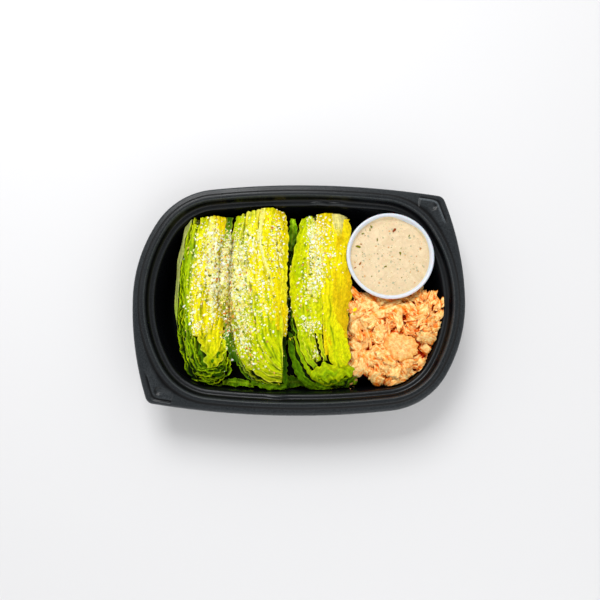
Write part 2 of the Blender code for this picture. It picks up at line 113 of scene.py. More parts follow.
def closeRings(rings):
    # points and faces of a closed body from equal rings, each end closed on its middle point
    points = np.vstack([rings.reshape(-1, 3), rings[0].mean(axis=0), rings[-1].mean(axis=0)])
    return points, ringFaces(*rings.shape[:2])


def makeMesh(name, points, faces, material, tint=None, along=None, smooth=True):
    # puts whole arrays into a mesh: tint is a colour a point, along is a pair of lengths a point
    mesh = bpy.data.meshes.new(name)
    points = np.asarray(points, np.float32).reshape(-1, 3)
    mesh.vertices.add(len(points))
    mesh.vertices.foreach_set("co", points.ravel())
    groups = faces if isinstance(faces, list) else [faces]
    corners = np.concatenate([group.ravel() for group in groups]).astype(np.int32)
    sizes = np.concatenate([np.full(len(group), group.shape[1]) for group in groups])
    starts = np.concatenate([[0], np.cumsum(sizes)[:-1]]).astype(np.int32)
    mesh.loops.add(len(corners))
    mesh.loops.foreach_set("vertex_index", corners)
    mesh.polygons.add(len(sizes))
    mesh.polygons.foreach_set("loop_start", starts)
    mesh.update(calc_edges=True)
    mesh.validate()
    mesh.polygons.foreach_set("use_smooth", np.full(len(mesh.polygons), smooth))
    if tint is not None:
        colours = np.ones((len(points), 4), np.float32)
        tint = np.asarray(tint).reshape(len(points), -1)
        colours[:, :tint.shape[1]] = tint
        mesh.color_attributes.new("tint", "FLOAT_COLOR", "POINT").data.foreach_set("color", colours.ravel())
    if along is not None:
        pairs = np.asarray(along, np.float32).reshape(-1, 2)
        order = np.zeros(len(mesh.loops), np.int32)
        mesh.loops.foreach_get("vertex_index", order)
        mesh.uv_layers.new(name="along").data.foreach_set("uv", pairs[order].ravel())
    mesh.materials.append(material)
    piece = bpy.data.objects.new(name, mesh)
    bpy.context.scene.collection.objects.link(piece)
    return piece


def faceOutwards(piece):
    # turns every face of a closed body out
    body = bmesh.new()
    body.from_mesh(piece.data)
    bmesh.ops.recalc_face_normals(body, faces=body.faces)
    if body.calc_volume(signed=True) < 0:
        bmesh.ops.reverse_faces(body, faces=body.faces)
    body.to_mesh(piece.data)
    body.free()


def ontoFrame(piece, slot, *nodes):
    # rides the piece on the tray, in place of the nodes it stands for
    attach(piece, "root")
    if nodes:
        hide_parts(*nodes)
    return piece


def bell(value, middle, width):
    # 1 at the middle, falling off evenly to both sides
    return np.exp(-((value - middle) / width) ** 2)


def fade(tint, other, amount):
    # one tint turned towards another
    return tint * (1 - amount) + other * amount


def roundCorners(profile, radius, steps=4):
    # replaces each inner corner of a profile by a short curve that starts and ends up to radius from it
    before, corner, after = profile[:-2], profile[1:-1], profile[2:]
    back, ahead = before - corner, after - corner
    backLength = np.linalg.norm(back, axis=1, keepdims=True)
    aheadLength = np.linalg.norm(ahead, axis=1, keepdims=True)
    start = corner + back / backLength * np.minimum(radius, backLength * 0.45)
    end = corner + ahead / aheadLength * np.minimum(radius, aheadLength * 0.45)
    t = np.linspace(0, 1, steps)[:, None, None]
    curve = (1 - t) ** 2 * start + 2 * t * (1 - t) * corner + t**2 * end
    return np.vstack([profile[:1], curve.transpose(1, 0, 2).reshape(-1, 2), profile[-1:]])


def setSockets(tree, node, values):
    # values or links of a node's inputs, by socket name
    for name, value in values.items():
        if isinstance(value, bpy.types.NodeSocket):
            tree.links.new(value, node.inputs[name])
        else:
            node.inputs[name].default_value = value


def addNode(tree, kind, inputs=None, **settings):
    # one shader node with its settings, then its inputs
    node = tree.nodes.new("ShaderNode" + kind)
    for name, value in settings.items():
        setattr(node, name, value)
    setSockets(tree, node, inputs or {})
    return node


def noise(tree, place, scale, detail=2.0, roughness=0.5, distortion=0.0):
    # an even grey noise; scale is its number of lumps a metre
    return addNode(tree, "TexNoise", {"Vector": place, "Scale": scale, "Detail": detail,
        "Roughness": roughness, "Distortion": distortion}).outputs["Fac"]


def remap(tree, value, fromLow, fromHigh, toLow=0.0, toHigh=1.0, **settings):
    # a value moved from one range into another, and held between its ends
    return addNode(tree, "MapRange", {"Value": value, "From Min": fromLow, "From Max": fromHigh,
                                      "To Min": toLow, "To Max": toHigh}, **settings).outputs["Result"]


def calculate(tree, operation, first, second=0.0):
    # one sum of two values or links
    return addNode(tree, "Math", {0: first, 1: second}, operation=operation).outputs["Value"]


def blend(tree, share, first, second, way="MIX"):
    # two colours mixed, or one multiplied by the other, as far as share says
    return addNode(tree, "Mix", {"Factor": share, "A": first, "B": second}, data_type="RGBA",
                   blend_type=way).outputs["Result"]


def relief(tree, height, strength, distance):
    # fine bumps that the light shows
    return addNode(tree, "Bump", {"Strength": strength, "Distance": distance,
        "Height": height}).outputs["Normal"]


def meshTint(tree):
    # the colour and the fourth value that each point of the mesh carries
    return addNode(tree, "Attribute", attribute_name="tint").outputs


def meshAlong(tree):
    # lengths along and across, as each point of the mesh carries them
    return addNode(tree, "UVMap", uv_map="along").outputs["UV"]


def newMaterial(name):
    # a material, its nodes, and the place of each point in the piece
    material = bpy.data.materials.new(name)
    material.use_nodes = True
    return material, material.node_tree, addNode(material.node_tree, "TexCoord").outputs["Object"]


def finishMaterial(material, **values):
    # values and links of the Principled shader
    tree = material.node_tree
    named = {name.replace("_", " "): value for name, value in values.items()}
    setSockets(tree, tree.nodes["Principled BSDF"], named)
    return material


cameraValues = {"lens": 36.0, "sensor": 36.0, "nearest": 0.01, "place": (0.00075, -0.0692, 0.4614),
    "tilt": 8.917}
studio = {
    "sky": {"heights": (0.72, 0.93), "strengths": (0.85, 0.14), "colour": (1.0, 1.0, 1.0, 1.0)},
    "lights": {"key_light": {"power": 10.0, "size": 0.6, "place": (-0.25, 0.75, 0.95)},
               "fill_light": {"power": 5.0, "size": 1.3, "place": (0.35, -0.8, 0.8)}},
    "floor": {"colour": (0.74, 0.74, 0.75, 1.0), "gloss": 0.6, "grain": 400.0, "relief": (0.02, 0.0005),
              "reach": 3.0, "points": 13, "below": 0.2 * mm}}


def makeCamera():
    # above the front of the tray, tilted back towards it
    camera = bpy.data.objects.new("camera", bpy.data.cameras.new("camera"))
    camera.data.lens = cameraValues["lens"]
    camera.data.sensor_width = cameraValues["sensor"]
    camera.data.clip_start = cameraValues["nearest"]
    camera.location = cameraValues["place"]
    camera.rotation_euler = (math.radians(cameraValues["tilt"]), 0.0, 0.0)
    bpy.context.scene.collection.objects.link(camera)
    bpy.context.scene.camera = camera


def makeAreaLight(name, place, power, size):
    # a square light that faces the tray
    data = bpy.data.lights.new(name, "AREA")
    data.energy = power
    data.size = size
    lamp = bpy.data.objects.new(name, data)
    lamp.location = place
    aim = -lamp.location
    lamp.rotation_euler = aim.to_track_quat("-Z", "Y").to_euler()
    bpy.context.scene.collection.objects.link(lamp)


def makeStudio():
    # a white world that darkens overhead, two lights and a floor
    world = bpy.data.worlds.new("studio")
    world.use_nodes = True
    tree, sky = world.node_tree, studio["sky"]
    place = addNode(tree, "TexCoord").outputs["Generated"]
    height = addNode(tree, "SeparateXYZ", {"Vector": place}).outputs["Z"]
    ramp = remap(tree, height, *sky["heights"], *sky["strengths"], interpolation_type="SMOOTHSTEP")
    setSockets(tree, tree.nodes["Background"], {"Strength": ramp, "Color": sky["colour"]})
    bpy.context.scene.world = world
    for name, values in studio["lights"].items():
        makeAreaLight(name, **values)
    bpy.context.scene.view_settings.view_transform = "Standard"
    ground = studio["floor"]
    material, tree, _ = newMaterial("studio_floor")
    grain = addNode(tree, "TexNoise", {"Scale": ground["grain"]}).outputs["Fac"]
    finishMaterial(material, Base_Color=ground["colour"], Roughness=ground["gloss"],
                   Normal=relief(tree, grain, *ground["relief"]))
    line = np.linspace(-ground["reach"], ground["reach"], ground["points"])
    x, y = np.meshgrid(line, line, indexing="xy")
    points = np.stack([x, y, np.full_like(x, -ground["below"])], axis=-1)
    floor = makeMesh("studio_floor", points, gridFaces(ground["points"], ground["points"]), material)


makeCamera()
makeStudio()
print("camera and light placed")


# sizes as in the part: an oval of three arcs a quarter, and the tab's own three arcs
tray = {"length": 240.0 * mm, "width": 168.4 * mm, "height": 38.0 * mm, "longRadius": 604.0 * mm,
    "shortRadius": 106.7 * mm, "cornerRadius": 52.84 * mm, "tabLongRadius": 652.0 * mm,
    "tabShortRadius": 220.0 * mm, "tabCornerRadius": 6.5 * mm, "tabFrom": 1.8 * mm, "tabTo": 4.6 * mm,
    "fineStep": 0.15 * mm, "coarseStep": 1.45 * mm, "underStep": 6.0 * mm, "bend": 0.7 * mm}

# (distance in from the edge, depth below the rim), lip to floor, for both skins
upperSkin = np.array([(0.0, 4.2), (0.5, 2.4), (1.6, 1.5), (4.6, 1.3), (5.8, 0.0), (8.6, 0.0), (10.4, 5.0),
                      (11.6, 6.4), (13.2, 6.5), (14.6, 6.9), (15.6, 8.6), (19.6, 32.0), (21.2, 35.6),
                      (24.0, 36.8), (40.0, 36.8)]) * mm
underSkin = np.array([(0.7, 4.2), (1.2, 3.0), (2.1, 2.3), (5.1, 2.1), (6.4, 0.8), (8.0, 0.8), (9.7, 5.6),
                      (11.2, 7.2), (14.0, 7.6), (14.8, 9.2), (18.8, 32.3), (20.2, 36.6), (22.6, 38.0),
                      (40.0, 38.0)]) * mm


def cornerCentre(longRadius, shortRadius, cornerRadius):
    # where a corner's circle touches the long side's circle and the short side's, both from inside
    longCentre = np.array([0.0, tray["width"] / 2 - longRadius])
    shortCentre = np.array([tray["length"] / 2 - shortRadius, 0.0])
    reachLong, reachShort = longRadius - cornerRadius, shortRadius - cornerRadius
    across = shortCentre - longCentre
    distance = np.linalg.norm(across)
    along = (reachLong**2 - reachShort**2 + distance**2) / (2 * distance)
    direction = across / distance
    normal = np.array([direction[1], -direction[0]])
    aside = math.sqrt(reachLong**2 - along**2)
    return longCentre, shortCentre, longCentre + along * direction + aside * normal


longCentre, shortCentre, cornerPoint = cornerCentre(tray["longRadius"], tray["shortRadius"],
    tray["cornerRadius"])
tabLongCentre, tabShortCentre, tabCorner = cornerCentre(
    tray["tabLongRadius"], tray["tabShortRadius"], tray["tabCornerRadius"])


def angleOf(vector):
    # direction of a flat vector, in radians from +X
    return math.atan2(vector[1], vector[0])


def quarterOval(inset, shortSteps=16, cornerSteps=92, longSteps=30):
    # the +X +Y quarter of the outline, moved in by inset: centre plus radius times the unit normal
    toShort, toLong = angleOf(cornerPoint - shortCentre), angleOf(cornerPoint - longCentre)
    points, normals = [], []
    for centre, radius, start, end, steps in (
            (shortCentre, tray["shortRadius"], 0.0, toShort, shortSteps),
            (cornerPoint, tray["cornerRadius"], toShort, toLong, cornerSteps),
            (longCentre, tray["longRadius"], toLong, math.pi / 2, longSteps)):
        angles = np.linspace(start, end, steps, endpoint=False)
        normal = np.column_stack([np.cos(angles), np.sin(angles)])
        points.append(centre + (radius - inset) * normal)
        normals.append(normal)
    points.append([[0.0, tray["width"] / 2 - inset]])
    normals.append([[0.0, 1.0]])
    return np.vstack(points), np.vstack(normals)


def wayOut(points, normals, centre, radius):
    # how far a point travels along its normal before it leaves a circle
    offset = points - centre
    along = np.sum(offset * normals, axis=1)
    return -along + np.sqrt(np.maximum(along**2 - np.sum(offset**2, axis=1) + radius**2, 0.0))


def ontoTab(points, normals, inset):
    # moves the round outline out to the tab's, which has a small rounded corner
    travel = np.minimum(wayOut(points, normals, tabLongCentre, tray["tabLongRadius"] - inset),
                        wayOut(points, normals, tabShortCentre, tray["tabShortRadius"] - inset))
    moved = points + travel[:, None] * normals
    angles = np.arctan2(moved[:, 1] - tabCorner[1], moved[:, 0] - tabCorner[0])
    low, high = angleOf(tabCorner - tabShortCentre), angleOf(tabCorner - tabLongCentre)
    atCorner = (angles > low) & (angles < high)
    rounded = wayOut(points, normals, tabCorner, tray["tabCornerRadius"] - inset)
    return np.where(atCorner[:, None], points + rounded[:, None] * normals, moved)


def trayRing(inset):
    # a closed ring round the tray: outside tabTo it widens step by step onto the two tabs
    points, normals = quarterOval(inset)
    reach = np.clip((tray["tabTo"] - inset) / (tray["tabTo"] - tray["tabFrom"]), 0, 1)
    tabbed = points
    if reach > 0:
        edge = ontoTab(*quarterOval(min(inset, tray["tabFrom"])), min(inset, tray["tabFrom"]))
        inner = quarterOval(tray["tabTo"])[0]
        tabbed = edge * reach + inner * (1 - reach)
    mirrored = points[::-1] * (-1, 1)
    half = np.vstack([tabbed[:-1], mirrored[:-1]])
    return np.vstack([half, -half])


def fillProfile(profile, coarse):
    # adds points so that no step of a profile is longer than coarse, or than fineStep where it widens onto
    # the tabs
    pieces = []
    for start, end in zip(profile[:-1], profile[1:]):
        middle = (start + end) / 2
        onTab = tray["tabFrom"] - 0.4 * mm < middle[0] < tray["tabTo"] + 0.4 * mm and middle[1] < 3 * mm
        steps = max(1, math.ceil(np.linalg.norm(end - start) / (tray["fineStep"] if onTab else coarse)))
        pieces.append(start + (end - start) * np.linspace(0, 1, steps, endpoint=False)[:, None])
    return np.vstack(pieces + [profile[-1:]])


def halfPlane(x, y, start, end):
    # how far each point lies to the right of the line from start to end, and how far along it
    direction = (end - start) / np.linalg.norm(end - start)
    return ((x - start[0]) * direction[1] - (y - start[1]) * direction[0],
            (x - start[0]) * direction[0] + (y - start[1]) * direction[1])


def easeStep(value, low, high):
    # 0 below low, 1 above high, and an even curve between
    share = np.clip((value - low) / (high - low), 0, 1)
    return share * share * (3 - 2 * share)


# the tray's bead, dimple, lugs and ribs; the crest and foot bands and the entries after beadEnds set the
# painted highlight on the bead crests, the painted shade at their foot and round the dimples, and the
# lighter painted plateau
trayMarks = {"bead": np.array([(89.5, 73.0), (101.4, 71.2), (106.4, 56.0)]) * mm, "beadHeight": 0.8 * mm,
    "beadRound": 1.4 * mm, "beadSlope": 1.3 * mm, "beadWidth": 9.0 * mm, "crest": (0.2 * mm, 0.75 * mm),
    "foot": (-1.3 * mm, 0.8 * mm), "trench": (-1.6 * mm, 0.8 * mm, 1.1 * mm),
    "dimple": np.array([98.2, 67.0]) * mm, "dimpleRadius": 2.4 * mm, "dimpleDepth": 0.9 * mm,
    "lugs": np.array([(15.0, 71.2), (28.5, 70.8), (-15.5, -71.2)]) * mm,
    "lugSize": np.array([5.5, 1.6]) * mm, "lugHeight": 0.9 * mm,
    "ribs": np.array([(-97.5, 22.0), (98.0, 7.5), (-97.8, 17.0)]) * mm, "ribWidth": 2.2 * mm,
    "ribHeight": 9.0 * mm, "ribRelief": 0.5 * mm, "ribReach": 6.0 * mm, "ribMiddle": 19.0 * mm,
    "flange": (3.2 * mm, 1.2 * mm), "ledge": (6.6 * mm, 1.6 * mm), "beadTop": 1.4 * mm,
    "beadEnds": (1.2 * mm, 0.2 * mm, 1.4 * mm), "scuff": (0.8, 0.1), "plateau": 0.04, "dimpleShade": 0.3,
    "dimpleEdge": 0.9 * mm, "worn": 5.0 * mm}


# insets from the rim's outer edge and the grey painted at each: bands of painted reflection and painted
# shade
rimPaintedBands = (np.array([0.0, 0.8, 1.4, 4.0, 4.5, 5.6, 6.0, 8.2, 8.6, 9.2, 9.6, 11.2, 11.6, 13.2, 13.6, 14.2,
    14.6]) * mm, np.array([0.6, 0.5, 0.26, 0.24, 0.0, 0.0, 0.2, 0.16, 0.5, 0.3, 0.0, 0.0, 0.3, 0.3, 0.9,
    0.9, 0.0]))


def beadPlace(x, y):
    # how far inside the bead's two lines each point lies, and 1 between the bead's ends
    start, corner, end = trayMarks["bead"]
    inFirst, alongFirst = halfPlane(x, y, start, corner)
    inSecond, alongSecond = halfPlane(x, y, corner, end)
    length = np.linalg.norm(end - corner)
    before, after, past = trayMarks["beadEnds"]
    between = easeStep(alongFirst, -before, after) * (1 - easeStep(alongSecond, length, length + past))
    soft = trayMarks["beadRound"]
    first, second = (np.exp(-inside.clip(-0.02) / soft) for inside in (inFirst, inSecond))
    return -soft * np.log(first + second), between


def dimplePlace(x, y):
    # distance from the dimple's middle
    return np.hypot(x - trayMarks["dimple"][0], y - trayMarks["dimple"][1])


def trayRelief(points):
    # bead and dimple on both tabs, small lugs on the ledge, faint upright ribs on the wall
    x, y, z = points[..., 0], points[..., 1], points[..., 2]
    side = np.where(x + y < 0, -1.0, 1.0)
    rim = tray["height"]
    onFlange = np.clip((z - rim + trayMarks["flange"][0]) / trayMarks["flange"][1], 0, 1)
    inward, between = beadPlace(side * x, side * y)
    bead = easeStep(inward, -trayMarks["beadSlope"], 0) * (1 - easeStep(inward, trayMarks["beadTop"],
        trayMarks["beadWidth"]))
    trench = bell(inward, *trayMarks["trench"][:2]) * trayMarks["trench"][2]
    hollow = np.exp(-(dimplePlace(side * x, side * y) / trayMarks["dimpleRadius"]) ** 4)
    raised = (trayMarks["beadHeight"] * bead - trench) * between
    lift = onFlange * (raised - trayMarks["dimpleDepth"] * hollow)
    onLedge = np.exp(-((z - rim + trayMarks["ledge"][0]) / trayMarks["ledge"][1]) ** 4)
    for cx, cy in trayMarks["lugs"]:
        spread = (np.abs((x - cx) / trayMarks["lugSize"][0]) ** 4
            + np.abs((y - cy) / trayMarks["lugSize"][1]) ** 2)
        lift = lift + trayMarks["lugHeight"] * onLedge * np.exp(-spread)
    moved = points.copy()
    moved[..., 2] += lift
    for cx, cy in trayMarks["ribs"]:
        near = np.exp(-np.abs((y - cy) / trayMarks["ribWidth"]) ** 4)
        near = near * (np.abs(x - cx) < trayMarks["ribReach"])
        upright = np.exp(-np.abs((z - trayMarks["ribMiddle"]) / trayMarks["ribHeight"]) ** 6)
        moved[..., 0] -= np.sign(cx) * trayMarks["ribRelief"] * near * upright
    return moved


def trayPaintedLight(points, bands):
    # painted grey of the surface: bands of painted reflection and painted shade round the rim, a painted
    # highlight on the beads' crests, bright on the tab that faces the light and faint on the other, painted
    # shade at their foot, a slightly lighter painted plateau inside them, and painted shade round the outer
    # side of the dimples
    x, y, z = points[..., 0], points[..., 1], points[..., 2]
    side = np.where(x + y < 0, -1.0, 1.0)
    inward, between = beadPlace(side * x, side * y)
    crest, foot = (bell(inward, *trayMarks[name]) * between for name in ("crest", "foot"))
    plateau = easeStep(inward, 0, 1.5 * mm) * (1 - easeStep(inward, 4 * mm, 8 * mm)) * between
    dimple = dimplePlace(side * x, side * y) - trayMarks["dimpleRadius"]
    outer = np.clip(0.4 + (side * x - trayMarks["dimple"][0]) / (4 * mm), 0, 1)
    grey = (bands * (1 - foot) + np.where(side > 0, *trayMarks["scuff"]) * crest + trayMarks["plateau"]
        * plateau - trayMarks["dimpleShade"] * bell(dimple, 0, trayMarks["dimpleEdge"]) * outer)
    return np.where(z > tray["height"] - trayMarks["worn"], np.clip(grey, 0, 1), bands)


# looks of both plastics, in linear colours; relief is a strength and a depth in metres
plasticLooks = {
    "black_plastic": {"colour": (0.0022, 0.0026, 0.0034, 1.0), "clean": (0.0, 0.0, 0.0, 1.0),
        "scuffed": (0.13, 0.15, 0.165, 1.0), "dustHeights": (30.0 * mm, 36.5 * mm), "dustScale": 1400.0,
        "dust": (0.25, 1.0), "cloudScale": 45.0, "gloss": (0.22, 0.34), "peelScale": 900.0,
        "relief": (0.12, 0.0003), "specular": 0.20},
    "white_plastic": {"colour": (0.66, 0.71, 0.78, 1.0), "cloudScale": 60.0, "gloss": (0.22, 0.36),
        "soft": 0.15, "depth": 0.004, "peelScale": 700.0, "relief": (0.08, 0.0002)}}


def blackPlastic():
    # moulded black sheet: a faint orange-peel bump and uneven gloss; near the rim and on the tabs, through
    # a fine dust noise, the mesh's painted grey shows: painted reflections and highlights, and painted
    # shade
    looks = plasticLooks["black_plastic"]
    material, tree, place = newMaterial("black_plastic")
    height = addNode(tree, "SeparateXYZ", {"Vector": place}).outputs["Z"]
    above = remap(tree, height, *looks["dustHeights"])
    dust = remap(tree, noise(tree, place, looks["dustScale"]), *middleBand, *looks["dust"])
    # painted light: the mesh's grey runs from black, the painted shade, to the sheen grey of painted
    # reflections and highlights
    scuffed = blend(tree, meshTint(tree)["Fac"], looks["clean"], looks["scuffed"])
    base = blend(tree, calculate(tree, "MULTIPLY", above, dust), looks["colour"], scuffed)
    gloss = remap(tree, noise(tree, place, looks["cloudScale"], 4.0), *middleBand, *looks["gloss"])
    return finishMaterial(material, Base_Color=base, Roughness=gloss, Specular_IOR_Level=looks["specular"],
                          Normal=relief(tree, noise(tree, place, looks["peelScale"]), *looks["relief"]))


def makeTray():
    # both skins swept round the oval and joined at the lip, with a flat floor and base
    above = fillProfile(roundCorners(upperSkin, tray["bend"]), tray["coarseStep"])
    below = fillProfile(roundCorners(underSkin, tray["bend"], 3), tray["underStep"])
    profile = np.vstack([below[::-1], above])
    rings = trayRelief(np.stack([np.column_stack([ring := trayRing(inset),
        np.full(len(ring), tray["height"] - depth)]) for inset, depth in profile]))
    points, faces = closeRings(rings)
    # painted reflection and shade: the grey of each rim band, on the upper skin only, then the tabs'
    # painted highlights and shade
    bands = np.interp(profile[:, 0], *rimPaintedBands) * (np.arange(len(profile)) >= len(below))
    bands = np.concatenate([np.repeat(bands, rings.shape[1]), [0, 0]])
    paintedGrey = np.repeat(trayPaintedLight(points, bands)[:, None], 3, axis=1)
    piece = makeMesh("tray_shell", points, faces, blackPlastic(), paintedGrey)
    faceOutwards(piece)
    return ontoFrame(piece, "black_plastic", "tray")


trayPiece = makeTray()
print("tray made")


pot = {"centre": np.array([66.8, 30.8]) * mm, "base": 1.5 * mm, "sides": 192, "level": 29.4 * mm,
    "bottom": 1.3 * mm, "mound": 0.5 * mm, "ripple": 0.12 * mm, "intoWall": 0.12 * mm, "film": 1.2 * mm,
    "filmUneven": 0.7 * mm, "filmThickness": 0.15 * mm, "bend": 0.7 * mm, "coneFoot": 21.0 * mm,
    "coneWidens": 11.1 * mm, "coneHeight": 31.0 * mm}
potOutside = np.array([(20.4, 0.0), (21.0, 0.6), (24.2, 11.5), (29.5, 30.0), (31.4, 30.3), (32.1, 31.1),
                       (32.1, 32.2), (31.3, 33.0)]) * mm
potInside = np.array([(30.5, 33.0), (29.7, 32.2), (29.2, 30.8), (20.5, 2.4), (19.6, 1.0), (18.0, 0.9)]) * mm


def turnedRings(profile, sides, centre, base):
    # a profile of (radius, height) turned round an upright axis
    angles = np.linspace(0, math.tau, sides, endpoint=False)
    radius, height = profile[:, :1], profile[:, 1:]
    return np.stack([centre[0] + radius * np.cos(angles), centre[1] + radius * np.sin(angles),
                     np.broadcast_to(base + height, (len(profile), sides))], axis=-1)


def whitePlastic():
    # thin cup: uneven gloss and a faint orange-peel bump
    looks = plasticLooks["white_plastic"]
    material, tree, place = newMaterial("white_plastic")
    gloss = remap(tree, noise(tree, place, looks["cloudScale"], 3.0), *middleBand, *looks["gloss"])
    return finishMaterial(material, Base_Color=looks["colour"], Roughness=gloss,
        Subsurface_Weight=looks["soft"], Subsurface_Scale=looks["depth"],
        Normal=relief(tree, noise(tree, place, looks["peelScale"]), *looks["relief"]))


# swirl is a noise's scale, detail, roughness and distortion; each dot's is scale, reach and colour
dressingLooks = {"colours": (srgb(188, 156, 108), srgb(252, 234, 198)), "swirl": (150.0, 8.0, 0.75, 1.2),
    "dots": ((520.0, 0.20, srgb(172, 168, 128)), (420.0, 0.15, srgb(206, 156, 96)),
    (700.0, 0.22, srgb(250, 236, 206))), "dotEdge": 0.55, "chance": 0.64, "gloss": 0.5, "specular": 0.35,
    "soft": 0.15, "depth": 0.002, "relief": (0.15, 0.0004)}


def creamDressing():
    # pale beige with faint swirls, and three kinds of tiny dots
    looks = dressingLooks
    material, tree, place = newMaterial("cream_dressing")
    swirl = noise(tree, place, *looks["swirl"])
    colour = blend(tree, swirl, *looks["colours"])
    for scale, limit, dot in looks["dots"]:
        cells = addNode(tree, "TexVoronoi", {"Vector": place, "Scale": scale}).outputs
        spot = remap(tree, cells["Distance"], limit, limit * looks["dotEdge"])
        chosen = calculate(tree, "GREATER_THAN", cells["Color"], looks["chance"])
        colour = blend(tree, calculate(tree, "MULTIPLY", spot, chosen), colour, dot)
    return finishMaterial(material, Base_Color=colour, Roughness=looks["gloss"],
        Specular_IOR_Level=looks["specular"], Subsurface_Weight=looks["soft"],
        Subsurface_Scale=looks["depth"], Normal=relief(tree, swirl, *looks["relief"]))


def wallRadius(height):
    # inner radius of the pot at a height over its base
    wall = potInside[::-1]
    return np.interp(height, wall[:, 1], wall[:, 0])


def dressingHeight(x, y):
    # level, plus a low mound in the middle and slow ripples that fade at the wall
    out = np.hypot(x, y) / wallRadius(pot["level"])
    ripple = pot["ripple"] * (waves(x, y, 15 * mm, seed=4) + 0.3 * waves(x, y, 5 * mm, seed=5))
    return pot["level"] + pot["mound"] * np.exp(-(out * 2.2) ** 2) + ripple * np.clip(1.1 - out**4, 0, 1)


def dressingRings():
    # a foot and a side inside the wall, a film that climbs the wall unevenly, then the level surface
    angle = np.linspace(0, math.tau, pot["sides"], endpoint=False)
    climb = pot["film"] + pot["filmUneven"] * waves(20 * mm * np.cos(angle), 20 * mm * np.sin(angle),
        17 * mm, seed=8)
    foot = wallRadius(pot["bottom"]) + pot["intoWall"]
    radius = [0 * angle + foot * 0.9, 0 * angle + foot]
    height = [0 * angle + pot["bottom"], 0 * angle + pot["bottom"] + 0.2 * mm]
    for share in np.linspace(1, 0, 9):
        level = pot["level"] + climb * share**1.5
        depth = pot["intoWall"] if share == 1 else -pot["filmThickness"] * (1 + 2.5 * (1 - share))
        radius.append(wallRadius(level) + depth)
        height.append(level)
    start = radius[-1]
    for share in (1 - np.linspace(0, 1, 56)[1:] * 0.985) ** 1.05:
        radius.append(start * share)
        x, y = radius[-1] * np.cos(angle), radius[-1] * np.sin(angle)
        height.append(dressingHeight(x, y))
    radius, height = np.array(radius), np.array(height)
    return np.stack([pot["centre"][0] + radius * np.cos(angle), pot["centre"][1] + radius * np.sin(angle),
                     pot["base"] + height], axis=-1)


def makePot():
    # the cup, turned, and the dressing inside it
    profile = roundCorners(np.vstack([potOutside, potInside]), pot["bend"], 5)
    points, faces = closeRings(turnedRings(profile, pot["sides"], pot["centre"], pot["base"]))
    cup = makeMesh("sauce_cup_shell", points, faces, whitePlastic())
    faceOutwards(cup)
    ontoFrame(cup, "white_plastic", "sauce_cup")
    dressing = makeMesh("dressing_fill", *closeRings(dressingRings()), creamDressing())
    faceOutwards(dressing)
    return ontoFrame(dressing, "cream_dressing", "dressing")


dressingPiece = makePot()
print("pot and dressing made")


# display colours of the leaves, from the stem to the frilly tip
leafColours = {"greyRib": (170, 178, 94), "paleRib": (188, 194, 108), "cream": (255, 242, 104),
    "whiteRib": (252, 246, 176), "beige": (232, 220, 132), "heart": (247, 232, 8),
    "deepHeart": (241, 211, 0), "gold": (214, 173, 0), "paleLime": (232, 234, 72), "lime": (217, 222, 0),
    "lightGreen": (194, 214, 0), "midGreen": (138, 182, 0), "green": (96, 144, 0),
    "darkGreen": (54, 96, 0), "deepGreen": (16, 34, 0), "olive": (172, 176, 8)}


def colours(names):
    # the leaf colours of a line of names
    return [leafColours[name] for name in names.split()]


def spread(values, share):
    # a list of values, evenly spaced, read at each share along straight lines between them
    values = np.asarray(values, float)
    if values.ndim == 0:
        return np.full(share.shape, float(values))
    if len(values) == 1:
        return np.repeat(values, len(share), axis=0)
    keys = np.linspace(0, 1, len(values))
    if values.ndim == 1:
        return np.interp(share, keys, values)
    return np.stack([np.interp(share, keys, column) for column in values.T], axis=1)


def wedgeShape(wedge, y):
    # left edge, right edge, top and bottom of a wedge at each y
    keys, left, right, top = np.array(wedge["stations"]).T * mm
    bottom = 2.5 * mm + 14 * mm * np.clip(1 - (y - keys[-1]) / (26 * mm), 0, 1) ** 1.5
    y = np.clip(y, keys.min(), keys.max())
    return smoothValue(keys, left, y), smoothValue(keys, right, y), smoothValue(keys, top, y), bottom


def wedgeTop(wedge, x, y, hold=1.0):
    # height of the wedge's upper side: flat across the middle and rounded off at both edges, but not beyond
    # hold
    left, right, top, bottom = wedgeShape(wedge, y)
    across = np.clip((2 * x - left - right) / (right - left), -hold, hold)
    middle = bottom + (top - bottom) * coreValues["shoulder"]
    crown = (1 - np.abs(across) ** 3.2) ** 0.38
    return middle + (top - middle) * crown + wedge["lean"] * mm * across * crown


def slow(even, wavelength, seed):
    # slow unevenness along a path
    return waves(even, 0 * even, wavelength, seed)


def pathLength(points):
    # the lengths between neighbouring points, added up
    return np.linalg.norm(np.diff(points, axis=0), axis=1).sum()


def directions(path):
    # unit directions along a path and to its left
    tangent = np.gradient(path, axis=0)
    tangent /= np.linalg.norm(tangent, axis=1, keepdims=True)
    return tangent, np.stack([-tangent[:, 1], tangent[:, 0]], axis=1)


def tintRows(names, share, columns):
    # the named colours along a leaf, the same across it
    return spread(colours(names), share)[:, None, :] * np.ones((1, columns, 1))


def evenPath(points, rows, wander=0.0, seed=0, part=(0.0, 1.0)):
    # evenly spaced points on a smooth curve, or on part of it, moved sideways by slow waves; and their
    # lengths
    fine = smoothCurve(points, rows * 4)
    fine = fine[int(part[0] * len(fine)):max(int(part[1] * len(fine)), int(part[0] * len(fine)) + 4)]
    lengths = np.concatenate([[0], np.cumsum(np.linalg.norm(np.diff(fine, axis=0), axis=1))])
    even = np.linspace(0, lengths[-1], rows)
    path = np.stack([np.interp(even, lengths, fine[:, axis]) for axis in (0, 1)], axis=1)
    across = directions(path)[1]
    return path + across * (wander * slow(even, 19.0, seed))[:, None], even


